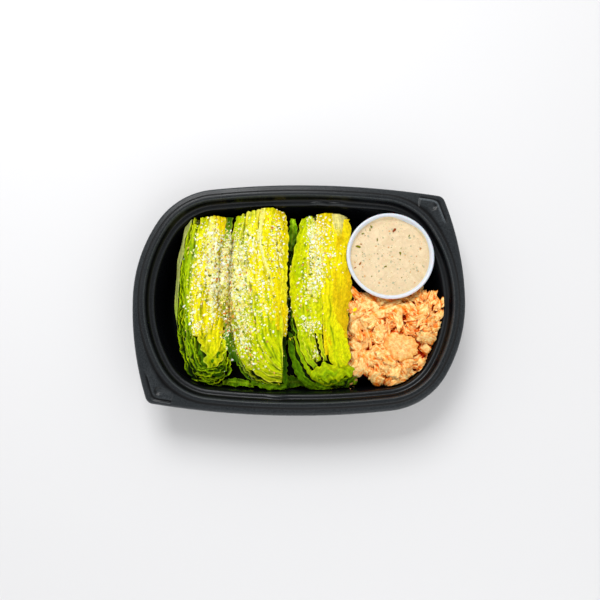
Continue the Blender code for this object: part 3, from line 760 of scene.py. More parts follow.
def turnOut(points, faces):
    # the faces of a closed body, all turned round if the volume they enclose comes out negative
    first, second, third, fourth = (points[faces[:, corner]] - points[0] for corner in range(4))
    volume = np.sum(first * np.cross(second, third)) + np.sum(first * np.cross(third, fourth))
    return faces if volume > 0 else faces[:, ::-1]


def closeSheet(upper, under):
    # points and faces of a sheet whose two skins join all round; each section runs out on top and back
    # below
    rows, columns = upper.shape[:2]
    ring = 2 * columns
    faces = gridFaces(rows, ring, closeColumns=True)
    column = np.arange(columns - 1)
    last = (rows - 1) * ring
    caps = np.vstack([np.column_stack([column + 1, column, ring - 1 - column, ring - 2 - column]),
                      last + np.column_stack([column, column + 1, ring - 2 - column, ring - 1 - column])])
    points = np.concatenate([upper, under[:, ::-1]], axis=1).reshape(-1, 3)
    return points, turnOut(points, np.vstack([faces, caps]))


def bothSkins(values):
    # values of a sheet's upper skin, repeated for its under skin
    return np.concatenate([values, values[:, ::-1]], axis=1).reshape(-1, values.shape[-1])


plainFace = {"lift": (0.0, 0.7, -1.0), "folds": 0.5, "foldWidth": 4.0, "foldLength": 30.0, "crinkle": 0.12,
    "crinkleSize": 2.6, "wander": 0.5, "ruffle": (0.3, 0.25), "wave": 7.0, "rib": 0.0, "ribAt": 0.5,
    "ribWidth": 0.16, "ridges": 0.0, "thick": 0.45, "hold": 0.94, "droop": (0.0, 0.8), "wrinkle": 0.16,
    "creases": (), "creaseDepth": 0.7, "tint": "lime", "tintRight": None, "edgeTint": "cream",
    "edgeStrength": 0.45, "edgeWidth": 0.6, "streak": 16.0, "blotch": 0.3, "blotchTint": "lightGreen"}


# the grid of each leaf and the reach of its details, in millimetres, and how dark the painted shade in
# creases and hollows gets
leafDetail = {"rowStep": 0.85, "columnStep": 0.6, "columns": (6, 26), "usualWidth": 12.0,
    "hangingStep": 0.9, "hangingColumns": 9, "ruffleReach": 1.6, "ruffleTurns": (1.0, 1.13), "slide": 0.8,
    "calmReach": 1.2, "wrinkleSize": 1.8, "creaseWidth": 0.55, "creaseDrift": 0.9, "ridgePitch": 1.5,
    "startDroop": 0.06, "endDroop": 0.1, "blotchSize": 8.0, "streakSize": 2.0,
    "streakTint": (1.0, 0.8, 0.35), "hollowShade": 0.16, "creaseShade": (0.42, 0.32, 0.6)}


def makeFaceLeaf(leaf, wedge, seed):
    # A leaf that lies on the wedge between two long edges. Its height is the wedge's top plus a curve
    # through three lifts, long folds, fine crinkles and wrinkles, creases, a rib, and a ruffle that grows
    # to each edge. Painted shade darkens its creases and the hollows of its folds, crinkles and wrinkles.
    detail = leafDetail
    leftPath, rightPath = (np.array(leaf[key], float) for key in ("left", "right"))
    widest = detail["usualWidth"]
    if len(leftPath) == len(rightPath):
        widest = np.linalg.norm(leftPath - rightPath, axis=1).max()
    rows = int(pathLength(leftPath) / detail["rowStep"]) + 6
    columns = int(np.clip(widest / detail["columnStep"], *detail["columns"])) + 2
    left, even = evenPath(leftPath, rows, leaf["wander"], seed)
    right, _ = evenPath(rightPath, rows, leaf["wander"], seed + 1)
    share = even / even[-1]
    s = np.linspace(0, 1, columns)
    width = np.linalg.norm(right - left, axis=1)[:, None]
    across = s * width
    fromEdge = np.minimum(s, 1 - s) * width
    random = np.random.default_rng(seed)

    wave = math.tau * even / leaf["wave"] + 2.2 * slow(even, 23.0, seed + 2) + random.uniform(0, 6)
    reach = [np.exp(-inward / detail["ruffleReach"]) * amount
             for inward, amount in zip((across, width - across), leaf["ruffle"])]
    ruffle = sum(side * (np.sin(turn * wave) + 0.5 * np.sin(2.7 * wave + turn))[:, None]
                 for side, turn in zip(reach, detail["ruffleTurns"]))
    slide = sum(side * np.cos(turn * wave)[:, None] * sign
                for side, turn, sign in zip(reach, detail["ruffleTurns"], (1.0, -1.0)))
    flat = left[:, None] * (1 - s)[:, None] + right[:, None] * s[:, None]
    direction = (right - left)[:, None] / np.maximum(width, 0.2)[..., None]
    flat = flat + direction * (detail["slide"] * slide)[..., None]

    lifts = [spread(lift, share)[:, None] for lift in leaf["lift"]]
    lift = lifts[0] * (1 - s) * (1 - 2 * s) + lifts[1] * 4 * s * (1 - s) + lifts[2] * s * (2 * s - 1)
    folds = leaf["folds"] * waves(across, even[:, None] * leaf["foldWidth"] / leaf["foldLength"],
        leaf["foldWidth"], seed + 4)
    calm = np.clip(fromEdge / detail["calmReach"], 0.3, 1)
    crinkle = spread(leaf["crinkle"], share)[:, None] * waves(flat[..., 0], flat[..., 1],
        leaf["crinkleSize"], seed + 5)
    wrinkle = leaf["wrinkle"] * waves(across + 0.8 * waves(even[:, None], 0 * across, 9.0, seed + 9),
                                      even[:, None] * 0.16, detail["wrinkleSize"], seed + 10)
    crease = np.zeros(across.shape)
    for turn, at in enumerate(leaf["creases"]):
        middle = at * width + detail["creaseDrift"] * slow(even, 21.0, seed + 30 + turn)[:, None]
        strength = np.clip(slow(even, 16.0, seed + 40 + turn) + 0.7, 0, 1)[:, None]
        crease = np.maximum(crease, strength * bell(across, middle, detail["creaseWidth"]))
    rib = leaf["rib"] * bell(s, leaf["ribAt"], leaf["ribWidth"]) * (1 - 0.75 * share[:, None])
    ridges = 1 + leaf["ridges"] * np.cos(math.tau * across / detail["ridgePitch"])
    droop = (leaf["droop"][0] * np.clip(1 - share / detail["startDroop"], 0, 1) ** 2
             + leaf["droop"][1] * np.clip((share - 0.9) / detail["endDroop"], 0, 1) ** 2)[:, None]
    base = wedgeTop(wedge, flat[..., 0] * mm, flat[..., 1] * mm, leaf["hold"]) / mm
    height = (base + lift + folds * calm + crinkle + wrinkle + ruffle + rib * ridges - droop
        - leaf["creaseDepth"] * crease)
    upper = np.concatenate([flat, height[..., None]], axis=2) * mm
    under = upper - np.array([0, 0, leaf["thick"] * mm])
    points, faces = closeSheet(upper, under)

    tint = tintRows(leaf["tint"], share, columns)
    if leaf["tintRight"] is not None:
        tint = fade(tint, spread(colours(leaf["tintRight"]), share)[:, None, :], s[:, None])
    blotch = waves(across + seed, even[:, None] * 0.25, detail["blotchSize"], seed + 6)
    amount = (np.clip(blotch - 0.1, 0, 1) * leaf["blotch"])[..., None]
    tint = fade(tint, np.array(leafColours[leaf["blotchTint"]]), amount)
    streak = waves(across, even[:, None] * 0.09, detail["streakSize"], seed + 8)[..., None]
    tint = tint + leaf["streak"] * streak * np.array(detail["streakTint"])
    # painted shade: darker in the hollows of folds, crinkles and wrinkles, and along the creases
    hollow = np.clip(-(folds + crinkle + 1.5 * wrinkle) / 0.9, 0, 1)[..., None]
    dark = np.array(detail["creaseShade"]) * crease[..., None]
    tint = tint * (1 - detail["hollowShade"] * hollow) * (1 - dark)
    edge = leaf["edgeStrength"] * bell(fromEdge, 0, leaf["edgeWidth"])[..., None]
    tint = fade(tint, np.array(leafColours[leaf["edgeTint"]]), edge)
    along = np.stack([np.broadcast_to(even[:, None], across.shape), across], axis=-1) * mm
    return points, faces, bothSkins(np.clip(tint, 0, 254)), bothSkins(along)


# a hanging leaf's plain values; shade is painted shade, how much darker the leaf gets down from its free
# edge
plainSheet = {"side": 1, "lift": [0.0], "lean": [(60, 85), (60, 85)], "width": [6.0], "taper": (0.01, 0.12),
              "ruffle": [0.15, 0.4, 1.2], "wave": 8.0, "thick": 0.4, "edgeTint": "paleLime",
              "edgeWidth": 0.10, "edgeStrength": 0.6, "shade": 0.55, "wander": 0.8, "tint": "green",
              "part": (0.0, 1.0), "hold": 1.0}


def makeHangingLeaf(leaf, wedge, seed):
    # A leaf that hangs from its free edge, which runs along a path over the wedge. Across the leaf, the
    # direction turns from the first lean to the second, so each section is an arc; then the edge is
    # ruffled.
    points = np.array(leaf["path"], float)
    length = pathLength(points) * (leaf["part"][1] - leaf["part"][0])
    rows, columns = int(length / leafDetail["hangingStep"]) + 6, leafDetail["hangingColumns"]
    path, even = evenPath(points, rows, leaf["wander"], seed, leaf["part"])
    share = even / even[-1]
    tangent, sideways = directions(path)
    sideways = sideways * leaf["side"]
    t = np.linspace(0, 1, columns) ** 1.3
    steps = np.diff(t, prepend=0.0)

    lean = np.radians(spread(leaf["lean"], share))
    angle = lean[:, :1] + (lean[:, 1:] - lean[:, :1]) * t
    start, end = leaf["taper"]
    grow, shrink = (np.clip(part, 0, 1) ** 0.6 for part in (share / max(start, 1e-6),
        (1 - share) / max(end, 1e-6)))
    envelope = grow * shrink
    width = spread(leaf["width"], share) * (0.25 + 0.75 * envelope)
    out = np.cumsum(np.cos(angle) * steps, axis=1) * width[:, None]
    down = np.cumsum(np.sin(angle) * steps, axis=1) * width[:, None]
    top = wedgeTop(wedge, path[:, 0] * mm, path[:, 1] * mm, leaf["hold"]) / mm + spread(leaf["lift"], share)
    flat = path[:, None, :] + sideways[:, None, :] * out[..., None]
    points = np.concatenate([flat, (top[:, None] - down)[..., None]], axis=2)
    normal = np.concatenate([sideways[:, None, :] * np.sin(angle)[..., None], np.cos(angle)[..., None]],
        axis=2)

    random = np.random.default_rng(seed)
    drift = 2.4 * slow(even, 21.0, seed + 7)
    phase = math.tau * even / (leaf["wave"] * random.uniform(0.8, 1.25)) + drift
    phase = phase + random.uniform(0, math.tau)
    ruffle = spread(leaf["ruffle"], share) * (1 + 0.35 * slow(even, 15.0, seed + 9))
    near = (1 - t) ** 1.4
    bend = (np.sin(phase)[:, None] * near + 0.5 * np.sin(2.3 * phase + 1.0)[:, None] * near**2
            + 0.3 * np.sin(5.3 * phase + drift)[:, None] * near**3)
    points = points + normal * (ruffle[:, None] * bend)[..., None]
    sway = 0.6 * ruffle[:, None] * np.cos(phase)[:, None] * near**2
    points[..., :2] += tangent[:, None, :] * sway[..., None]
    points = points + normal * (0.3 * waves(even[:, None], t * width[:, None], 5.0, seed + 3))[..., None]
    upper, under = points * mm, (points - normal * leaf["thick"]) * mm
    points, faces = closeSheet(upper, under)

    tint = tintRows(leaf["tint"], share, columns)
    pale = bell(t, 0, leaf["edgeWidth"])[None, :, None] * leaf["edgeStrength"]
    pale = pale * (0.7 + 0.5 * slow(even, 11.0, seed + 5))[:, None, None]
    tint = fade(tint, np.array(leafColours[leaf["edgeTint"]], float), pale)
    tint = tint * (1 + 0.10 * waves(even[:, None] + seed, t * width[:, None], 9.0, seed + 11)[..., None])
    # painted shade: darker further down the leaf from its free edge
    tint = tint * (1 - leaf["shade"] * t[:, None])
    along = np.stack(np.broadcast_arrays(even[:, None], t * width[:, None]), axis=-1) * mm
    return points, faces, bothSkins(np.clip(tint, 0, 254)), bothSkins(along)


def faceLeaf(left, right, **values):
    # a leaf between two edges: the plain values, with those that differ
    return [dict(plainFace, left=left, right=right, **values)]


def hangingLeaf(path, **values):
    # a leaf that hangs from a path, likewise
    return [dict(plainSheet, path=path, **values)]


def fan(count, first, last, seed, crop=0.25, **shared):
    # leaves that change from the first to the last in uneven steps, each cropped a little at both ends
    random = np.random.default_rng(seed)
    leaves = []
    shares = np.linspace(0, 1, count) + random.uniform(-0.35, 0.35, count) / max(count - 1, 1)
    for share in np.clip(shares, 0, 1):
        leaf = dict(plainSheet, **shared)
        for key, value in first.items():
            start, end = np.asarray(value, float), np.asarray(last.get(key, value), float)
            if key == "path":
                start, end = smoothCurve(start, 12), smoothCurve(end, 12)
            leaf[key] = start * (1 - share) + end * share
        leaf["lift"] = np.asarray(leaf["lift"], float) + random.uniform(-0.6, 0.6)
        leaf["part"] = (random.uniform(0, crop), 1 - random.uniform(0, crop))
        leaves.append(leaf)
    return leaves


def leftLeaves():
    # outer rib, ruffled green edges, broad pale leaves, a raised tongue, a hollow leaf, then the dark
    # frills
    leaves = faceLeaf([(-82.4, 60), (-86.6, 42), (-89.6, 22), (-90.4, 3), (-89.6, -13), (-88.2, -24)],
        [(-79.2, 60), (-83.2, 42), (-86.2, 22), (-87.4, 3), (-87.8, -10), (-87.8, -24)],
        lift=(0.2, 0.9, 0.8), rib=0.2, ribWidth=0.3, ridges=0.2, folds=0.25, crinkle=0.04, thick=0.9,
        foldWidth=1.6, foldLength=60.0, ruffle=(0.0, 0.1), tint="paleRib greyRib greyRib midGreen",
        streak=10.0, edgeTint="paleRib", blotch=0.1, droop=(0.3, 0.5))
    leaves += fan(5, {"path": [(-80.4, 59), (-83.6, 38), (-86.2, 16), (-87.2, -4), (-87.0, -22),
        (-84.5, -36)]}, {"path": [(-76, 59.5), (-79, 38), (-81.2, 16), (-81.6, -4), (-81, -20),
        (-80, -32)]}, 3, lean=[(40, 85), (50, 85), (55, 85)], ruffle=[0.2, 0.5, 0.9], lift=[0.6, 0.4, 0.0],
        width=[5, 6, 6], tint="lightGreen midGreen midGreen green", edgeTint="lime")
    leaves += hangingLeaf([(-77.0, 60), (-77.4, 55), (-75.4, 50.6), (-72.6, 50.4), (-70.8, 54),
        (-71.2, 60)], side=1, lean=[(55, 80), (55, 80)], width=[4.5], ruffle=[0.2], wander=0.2, lift=[1.0],
        tint="lightGreen", edgeTint="paleLime", wave=6.0)
    leaves += faceLeaf([(-78.4, 54), (-80.6, 38), (-82.4, 20), (-82.8, 2), (-82.2, -15), (-80.2, -29)],
        [(-69.6, 54), (-71.4, 38), (-73.6, 20), (-75, 2), (-75.6, -16), (-76.6, -31)],
        lift=(0.2, 0.7, -0.6), folds=0.75, foldWidth=3.0, ruffle=(0.5, 0.3), crinkle=[0.1, 0.15, 0.3],
        tint="lightGreen midGreen lightGreen midGreen", creases=(0.15, 0.45, 0.8),
        tintRight="heart paleLime lime lightGreen", blotchTint="green")
    leaves += faceLeaf([(-72.6, 59.6), (-75, 40), (-76.6, 20), (-77.2, 0), (-76.8, -17), (-75, -28)],
        [(-64.6, 60.4), (-65, 40), (-66, 20), (-67, 0), (-68, -15), (-69, -29)], lift=(0.3, 0.9, -0.2),
        folds=0.8, foldWidth=3.4, tint="lime heart heart heart", blotchTint="lime", crinkle=0.18)
    leaves += faceLeaf([(-67.6, 60), (-67.8, 42), (-67.4, 25), (-66.6, 8), (-66.4, -8), (-67, -20)],
        [(-61.6, 60.6), (-62, 42), (-62, 25), (-61.6, 8), (-61.4, -8), (-63, -20)], lift=(0.3, 1.3, 1.0),
        rib=0.5, folds=0.4, tint="cream cream cream heart", blotch=0.15)
    leaves += faceLeaf([(-63.6, 61.4), (-63, 48), (-62.4, 34), (-61, 18)], [(-54.0, 60.6), (-53.2, 48),
        (-53.4, 34), (-53.8, 18)], lift=(1.1, 1.5, 0.3), folds=0.5, foldLength=40.0, thick=1.6, ridges=0.5,
        rib=0.5, ribWidth=0.4, tint="deepHeart heart heart", blotchTint="cream", crinkle=0.1,
        ruffle=(0.1, 0.2), droop=(0.6, 1.0), hold=0.78)
    leaves += faceLeaf([(-63.4, 30), (-63.6, 12), (-64.4, -6), (-65, -19), (-66.2, -30), (-66.6, -38),
        (-64.4, -43)], [(-53.4, 30), (-53.8, 12), (-54.2, -6), (-54.2, -19), (-54.8, -31), (-57.4, -38),
        (-61.6, -43.6)], lift=([1.1, 1.1, 0.9, 0.6], [1.1, 1.1, 0.7, -1.2], [-0.4, -0.4, -0.4, 0.2]),
        creases=(0.3, 0.55), folds=0.5, tint="heart deepHeart deepHeart heart lime", blotchTint="lime",
        crinkle=0.15, ruffle=(0.3, 0.6), wave=9.0, droop=(0.0, 2.2), hold=0.78)
    leaves += faceLeaf([(-71.6, 14), (-74.4, 2), (-75.8, -10), (-75, -21), (-72.6, -28), (-69.6, -31.4)],
        [(-66.4, 14), (-62.4, 2), (-61.2, -10), (-61.4, -20), (-64.4, -27), (-68.8, -31.6)],
        lift=(0.9, 2.2, 0.8), folds=0.7, foldWidth=3.6, tint="heart heart heart", creases=(0.4, 0.72),
        edgeStrength=0.6, blotchTint="cream", ruffle=(0.3, 0.3), droop=(0.5, 1.4))
    leaves += faceLeaf([(-82, -20), (-81, -34), (-77.6, -45), (-71, -56)], [(-55, -20), (-53.4, -34),
        (-52.6, -45), (-54, -56)], lift=(-2.6, -3.0, -2.6), folds=0.5, foldWidth=5.0, foldLength=14.0,
        blotch=0.8, streak=8.0, tint="midGreen green darkGreen", blotchTint="deepGreen")
    leaves += faceLeaf([(-71.6, -27), (-70.6, -33), (-69.2, -37.6), (-66.4, -41.6), (-66.8, -46),
        (-65, -51)], [(-55.6, -28.6), (-53, -33), (-52.2, -38), (-53.2, -42), (-55.4, -46), (-59.4, -50)],
        lift=([0.6, 1.6, 2.4], [-0.4, -3.4, -2.6], [-0.8, 1.4, 2.0]), folds=0.4, foldWidth=4.0,
        foldLength=14.0, crinkle=0.35, crinkleSize=3.2, wave=9.5, ruffle=(1.3, 1.0), droop=(0.0, -1.6),
        tint="heart lime lightGreen", tintRight="heart lime olive", blotchTint="midGreen", blotch=0.7,
        edgeTint="paleLime", edgeStrength=0.9, edgeWidth=0.8, hold=0.8, creases=(0.35, 0.7))
    frill = {"width": [5.0, 5.0, 4.0], "edgeStrength": 0.68, "edgeWidth": 0.22, "shade": 0.9, "hold": 0.8,
        "wander": 0.9, "taper": (0.08, 0.1), "wave": 6.0}
    leaves += fan(9, {"path": [(-87.6, -14), (-87.6, -26), (-85.8, -37), (-83.4, -46), (-80.4, -53),
        (-75, -61)], "lift": [-3.4, -4.6, -4.0], "ruffle": [0.5, 1.1, 1.2]},
        {"path": [(-76.6, -22), (-75, -33), (-73, -42), (-69.8, -48.6), (-66, -53), (-60, -57)],
        "lift": [0.0, 0.2, -1.0], "ruffle": [0.4, 0.9, 1.1]}, 31, lean=[(25, 75)],
        tint="midGreen midGreen green darkGreen", edgeTint="lightGreen", **frill)
    leaves += fan(8, {"path": [(-73, -50.4), (-68, -51.6), (-63.6, -53), (-58, -51.6), (-53.6, -47)],
        "lift": [0.2, 0.0, -0.6], "ruffle": [0.9, 1.3, 0.9]},
        {"path": [(-78, -60), (-71.6, -63), (-64.4, -64.6), (-57, -64.4), (-50, -60)],
        "lift": [-2.6, -4.0, -3.0], "ruffle": [1.0, 1.5, 1.0]}, 37, lean=[(20, 70)],
        tint="green midGreen darkGreen", edgeTint="lightGreen", **frill)
    leaves += fan(4, {"path": [(-54.4, -36), (-54, -42), (-56.4, -47), (-60, -50)],
        "lift": [0.4, 0.6, 0.2]}, {"path": [(-51.6, -40), (-50, -48), (-50.6, -55), (-54, -60)],
        "lift": [-2.6, -3.6, -4.0]}, 41, side=-1, lean=[(25, 75)], ruffle=[0.6, 1.1, 0.8],
        tint="lightGreen midGreen green", edgeTint="lightGreen", **frill)
    return leaves


def middleLeaves():
    # a bridge to the next wedge, stem fingers, a pale leaf, a thick white rib, a yellow block, then
    # slanting leaves and a dark rim below
    leaves = faceLeaf([(-53.8, 47), (-55.2, 30), (-55.6, 12), (-55.2, -4), (-54.2, -20), (-52.4, -36),
        (-49, -46)], [(-49, 47), (-50.4, 30), (-51, 12), (-50.8, -4), (-49.4, -20), (-46.4, -36),
        (-43, -46)], lift=([5.0, 9.0, 9.0, 6.5, 3.0, -1.0], [5.5, 9.5, 9.0, 6.5, 3.0, -1.0],
        [1.0, 5.0, 5.5, 3.0, 0.0, -2.0]), folds=0.8, foldWidth=3.0, crinkle=0.4,
        tint="midGreen cream cream olive green darkGreen", blotch=0.4, blotchTint="green",
        ruffle=(0.6, 0.3))
    leaves += faceLeaf([(-46.4, 61.6), (-49.6, 47), (-51.8, 30), (-52.4, 12), (-52, -4)],
        [(-40.6, 62), (-43.4, 47), (-45.4, 30), (-46.4, 12), (-46, -4)], lift=([-0.6, 2.6, 4.2, 4.2, 2.0],
        0.4, -0.2), folds=0.8, foldWidth=2.8, tint="lightGreen lime paleLime", blotchTint="green",
        blotch=0.8, ruffle=(0.5, 0.3))
    leaves += faceLeaf([(-43.6, 60), (-47, 44), (-50, 25), (-51.6, 6), (-50.4, -13), (-46.4, -31),
        (-40, -48), (-36.4, -52.4)], [(-34.6, 60), (-35.4, 44), (-34.4, 25), (-31.6, 8), (-27, -9),
        (-23, -26), (-20.4, -40), (-18, -52)], lift=([0.0, 0.0, 1.5, 3.0, 2.0, 0.0, 0.0], 0.7,
        [-0.6, -0.6, -1.6, -2.4]), folds=0.8, foldWidth=4.2,
        tint="lime paleLime cream paleLime lime lightGreen",
        tintRight="paleLime cream cream lime lime lightGreen", crinkle=[0.1, 0.2, 0.3],
        creases=(0.3, 0.55, 0.75), blotchTint="lightGreen", blotch=0.35, ruffle=(0.7, 0.3))
    leaves += faceLeaf([(-38.6, 63), (-38.4, 46), (-36.8, 28), (-34.4, 11), (-30.6, -6), (-26.6, -22)],
        [(-29.4, 65), (-29, 46), (-26.4, 31), (-22.0, 16), (-19.0, 0), (-17, -18)], lift=(0.3, 0.9, -0.3),
        folds=0.6, tint="paleLime heart heart heart", blotchTint="cream", crinkle=0.15)
    for top, low, name in (((-45.4, 62.4), (-45.0, 55), "lime"), ((-41.6, 63.4), (-42.0, 54), "paleLime"),
            ((-37.2, 64.6), (-38.4, 52), "cream"), ((-33.4, 65.2), (-34.2, 54), "lime"),
            ((-30.2, 65.8), (-31.2, 50), "cream")):
        leaves += faceLeaf([(top[0] - 1.5, top[1]), (low[0] - 1.3, low[1])],
            [(top[0] + 1.5, top[1]), (low[0] + 1.3, low[1])], lift=(-1.2, 1.4, -1.2), folds=0.2, thick=1.8,
            tint=name + " heart", droop=(1.2, 1.2), ruffle=(0.1, 0.1), edgeStrength=0.2, wander=0.2)
    leaves += faceLeaf([(-24.8, 67), (-27.6, 50), (-27.4, 36), (-24, 22), (-21.8, 8), (-20.8, -8),
        (-19.4, -24)], [(-16.2, 67), (-16.2, 50), (-15.6, 36), (-13.6, 22), (-12.6, 8), (-12.2, -8),
        (-12.6, -24)], lift=(-0.4, 1.2, -0.2), folds=0.5, rib=0.4, ribWidth=0.4, thick=1.2,
        droop=(0.8, 0.8), tint="heart heart deepHeart", blotchTint="lime", crinkle=0.14)
    leaves += faceLeaf([(-17.4, 66.8), (-16.8, 50), (-15.8, 36), (-14, 22), (-13, 8), (-12.6, -4)],
        [(-10.4, 65.6), (-8.2, 50), (-7.8, 36), (-8.4, 20), (-8.8, 6), (-8.8, -6)], lift=(0.3, 1.1, -0.4),
        folds=0.5, rib=0.4, ribWidth=0.4, thick=1.2, droop=(0.8, 0.5), tint="deepHeart heart heart",
        blotchTint="cream", ruffle=(0.3, 0.5))
    leaves += faceLeaf([(-13.2, 8), (-13, -6), (-12, -17), (-10.4, -27.6)],
        [(-8.6, 8), (-7.8, -6), (-7.8, -17), (-9.6, -28.4)], lift=(0.8, 1.1, 0.2), folds=0.3,
        tint="heart deepHeart deepHeart", droop=(0.3, 1.5), ruffle=(0.4, 0.4), edgeStrength=0.6)
    leaves += faceLeaf([(-28.2, 66.6), (-30.2, 50), (-29.8, 38), (-25.8, 24), (-22, 12), (-20.2, -2),
        (-18.8, -18)], [(-24, 66.9), (-26.4, 50), (-25.8, 38), (-21.8, 24), (-18.8, 12), (-17.4, -2),
        (-16.6, -18)], lift=(-0.2, 0.9, 0.0), folds=0.25, rib=0.3, ribWidth=0.4, thick=1.4,
        ruffle=(0.1, 0.1), tint="cream whiteRib cream heart", droop=(1.0, 1.2), blotch=0.3, crinkle=0.08,
        wander=0.4)
    lower = (([(-33.6, 4), (-32, -14), (-30, -27), (-25.4, -37), (-20.4, -45.6), (-12.8, -52.6)],
        [(-17.6, 4), (-12, -14), (-11.6, -26), (-11.6, -36), (-11.6, -44), (-11.6, -50)], "lime",
        "lightGreen", 0.4, (0.25, 0.5, 0.8)), ([(-35.4, -14), (-34, -28), (-31, -39), (-25.4, -47.6),
        (-19, -53.4), (-12.2, -55.6)], [(-28, -14), (-26, -28), (-23, -37), (-18.4, -44.4), (-13, -50),
        (-11.8, -51.6)], "lime", "lightGreen", 0.0, (0.5,)),
        ([(-38.6, -30), (-37, -40), (-31.4, -49.6), (-24.6, -54.6), (-18, -57), (-12.2, -58)],
        [(-31, -28), (-28.4, -37), (-25, -44), (-20.4, -50.4), (-16, -53.6), (-12, -54.6)], "lime",
        "lightGreen", -0.4, (0.4, 0.7)), ([(-38.4, -46), (-33.8, -53.4), (-27.8, -58.2), (-20.8, -61.2),
        (-12.4, -61.6)], [(-32, -42), (-27.6, -48.6), (-22, -52.6), (-17, -54.6), (-11.8, -55.4)],
        "lightGreen", "olive", -0.8, (0.6,)))
    for left, right, start, end, lift, creases in lower:
        leaves += faceLeaf(left, right, lift=(lift + 0.5, lift + 0.4, lift - 0.6), folds=0.4,
            foldWidth=3.6, wave=11.0, foldLength=30.0, ruffle=(0.5, 0.15),
            tint=" ".join((start, start, end)), hold=0.8, blotchTint="lightGreen", crinkle=0.14,
            edgeTint="cream", edgeStrength=0.7, edgeWidth=0.7, blotch=0.8, droop=(1.2, 0.2),
            creases=creases)
    rim = {"width": [5.0, 6.0, 5.0], "edgeWidth": 0.16, "shade": 0.85, "wander": 0.8, "wave": 8.0,
        "taper": (0.1, 0.15)}
    for path, lift, names, edge in (([(-51.8, -8), (-50.8, -26), (-48, -38), (-44.6, -47), (-39.4, -55),
            (-31, -62), (-20, -66)], [-3.0, -5.0, -6.0], "darkGreen green green", "midGreen"),
            ([(-50.4, -12), (-48.8, -28), (-46, -38), (-42.6, -46.8), (-38, -54), (-31, -59.6),
            (-22, -64.6)], [-1.6, -3.0, -4.0], "green midGreen midGreen", "paleRib"),
            ([(-49, -14), (-46.8, -28), (-44, -38), (-40.4, -47), (-36.4, -53), (-30, -58), (-22, -61.6),
            (-13, -62.6)], [-0.4, -0.8, -2.0], "lightGreen lightGreen midGreen", "paleLime")):
        leaves += hangingLeaf(path, lift=lift, lean=[(30, 75)], ruffle=[0.5, 1.0, 1.1], tint=names,
            edgeTint=edge, edgeStrength=0.8, hold=0.85, **rim)
    leaves += faceLeaf([(-36, -62), (-28, -64.8), (-20, -66.2), (-9, -66)], [(-33, -59), (-26, -61.4),
        (-19, -62), (-9, -61)], lift=(-4.6, -4.0, -3.0), folds=0.4, foldWidth=6.0, foldLength=12.0,
        crinkle=0.2, streak=6.0, tint="green midGreen green", blotchTint="darkGreen", blotch=0.7,
        edgeTint="midGreen", ruffle=(0.6, 0.4))
    leaves += faceLeaf([(-12.6, -22), (-12.4, -40), (-12, -52), (-11.4, -63)],
        [(-9.6, -26), (-9, -40), (-8.4, -52), (-7.4, -63)], lift=(-2.0, -4.0, -6.0), folds=0.5,
        foldWidth=4.0, foldLength=12.0, crinkle=0.3, streak=6.0, tint="green darkGreen darkGreen green",
        blotchTint="deepGreen", blotch=0.8, edgeTint="midGreen", ruffle=(0.6, 0.7))
    leaves += faceLeaf([(-53.8, 60), (-53.8, 52), (-54, 44)], [(-48.6, 60.4), (-49, 52), (-50.2, 44)],
        lift=([1.0, 3.0, 5.0], [2.5, 4.5, 6.0], [0.5, 2.5, 4.0]), folds=0.7, foldWidth=2.6, crinkle=0.35,
        tint="darkGreen green midGreen", blotchTint="deepGreen", blotch=0.6, ruffle=(0.5, 0.4))
    return leaves


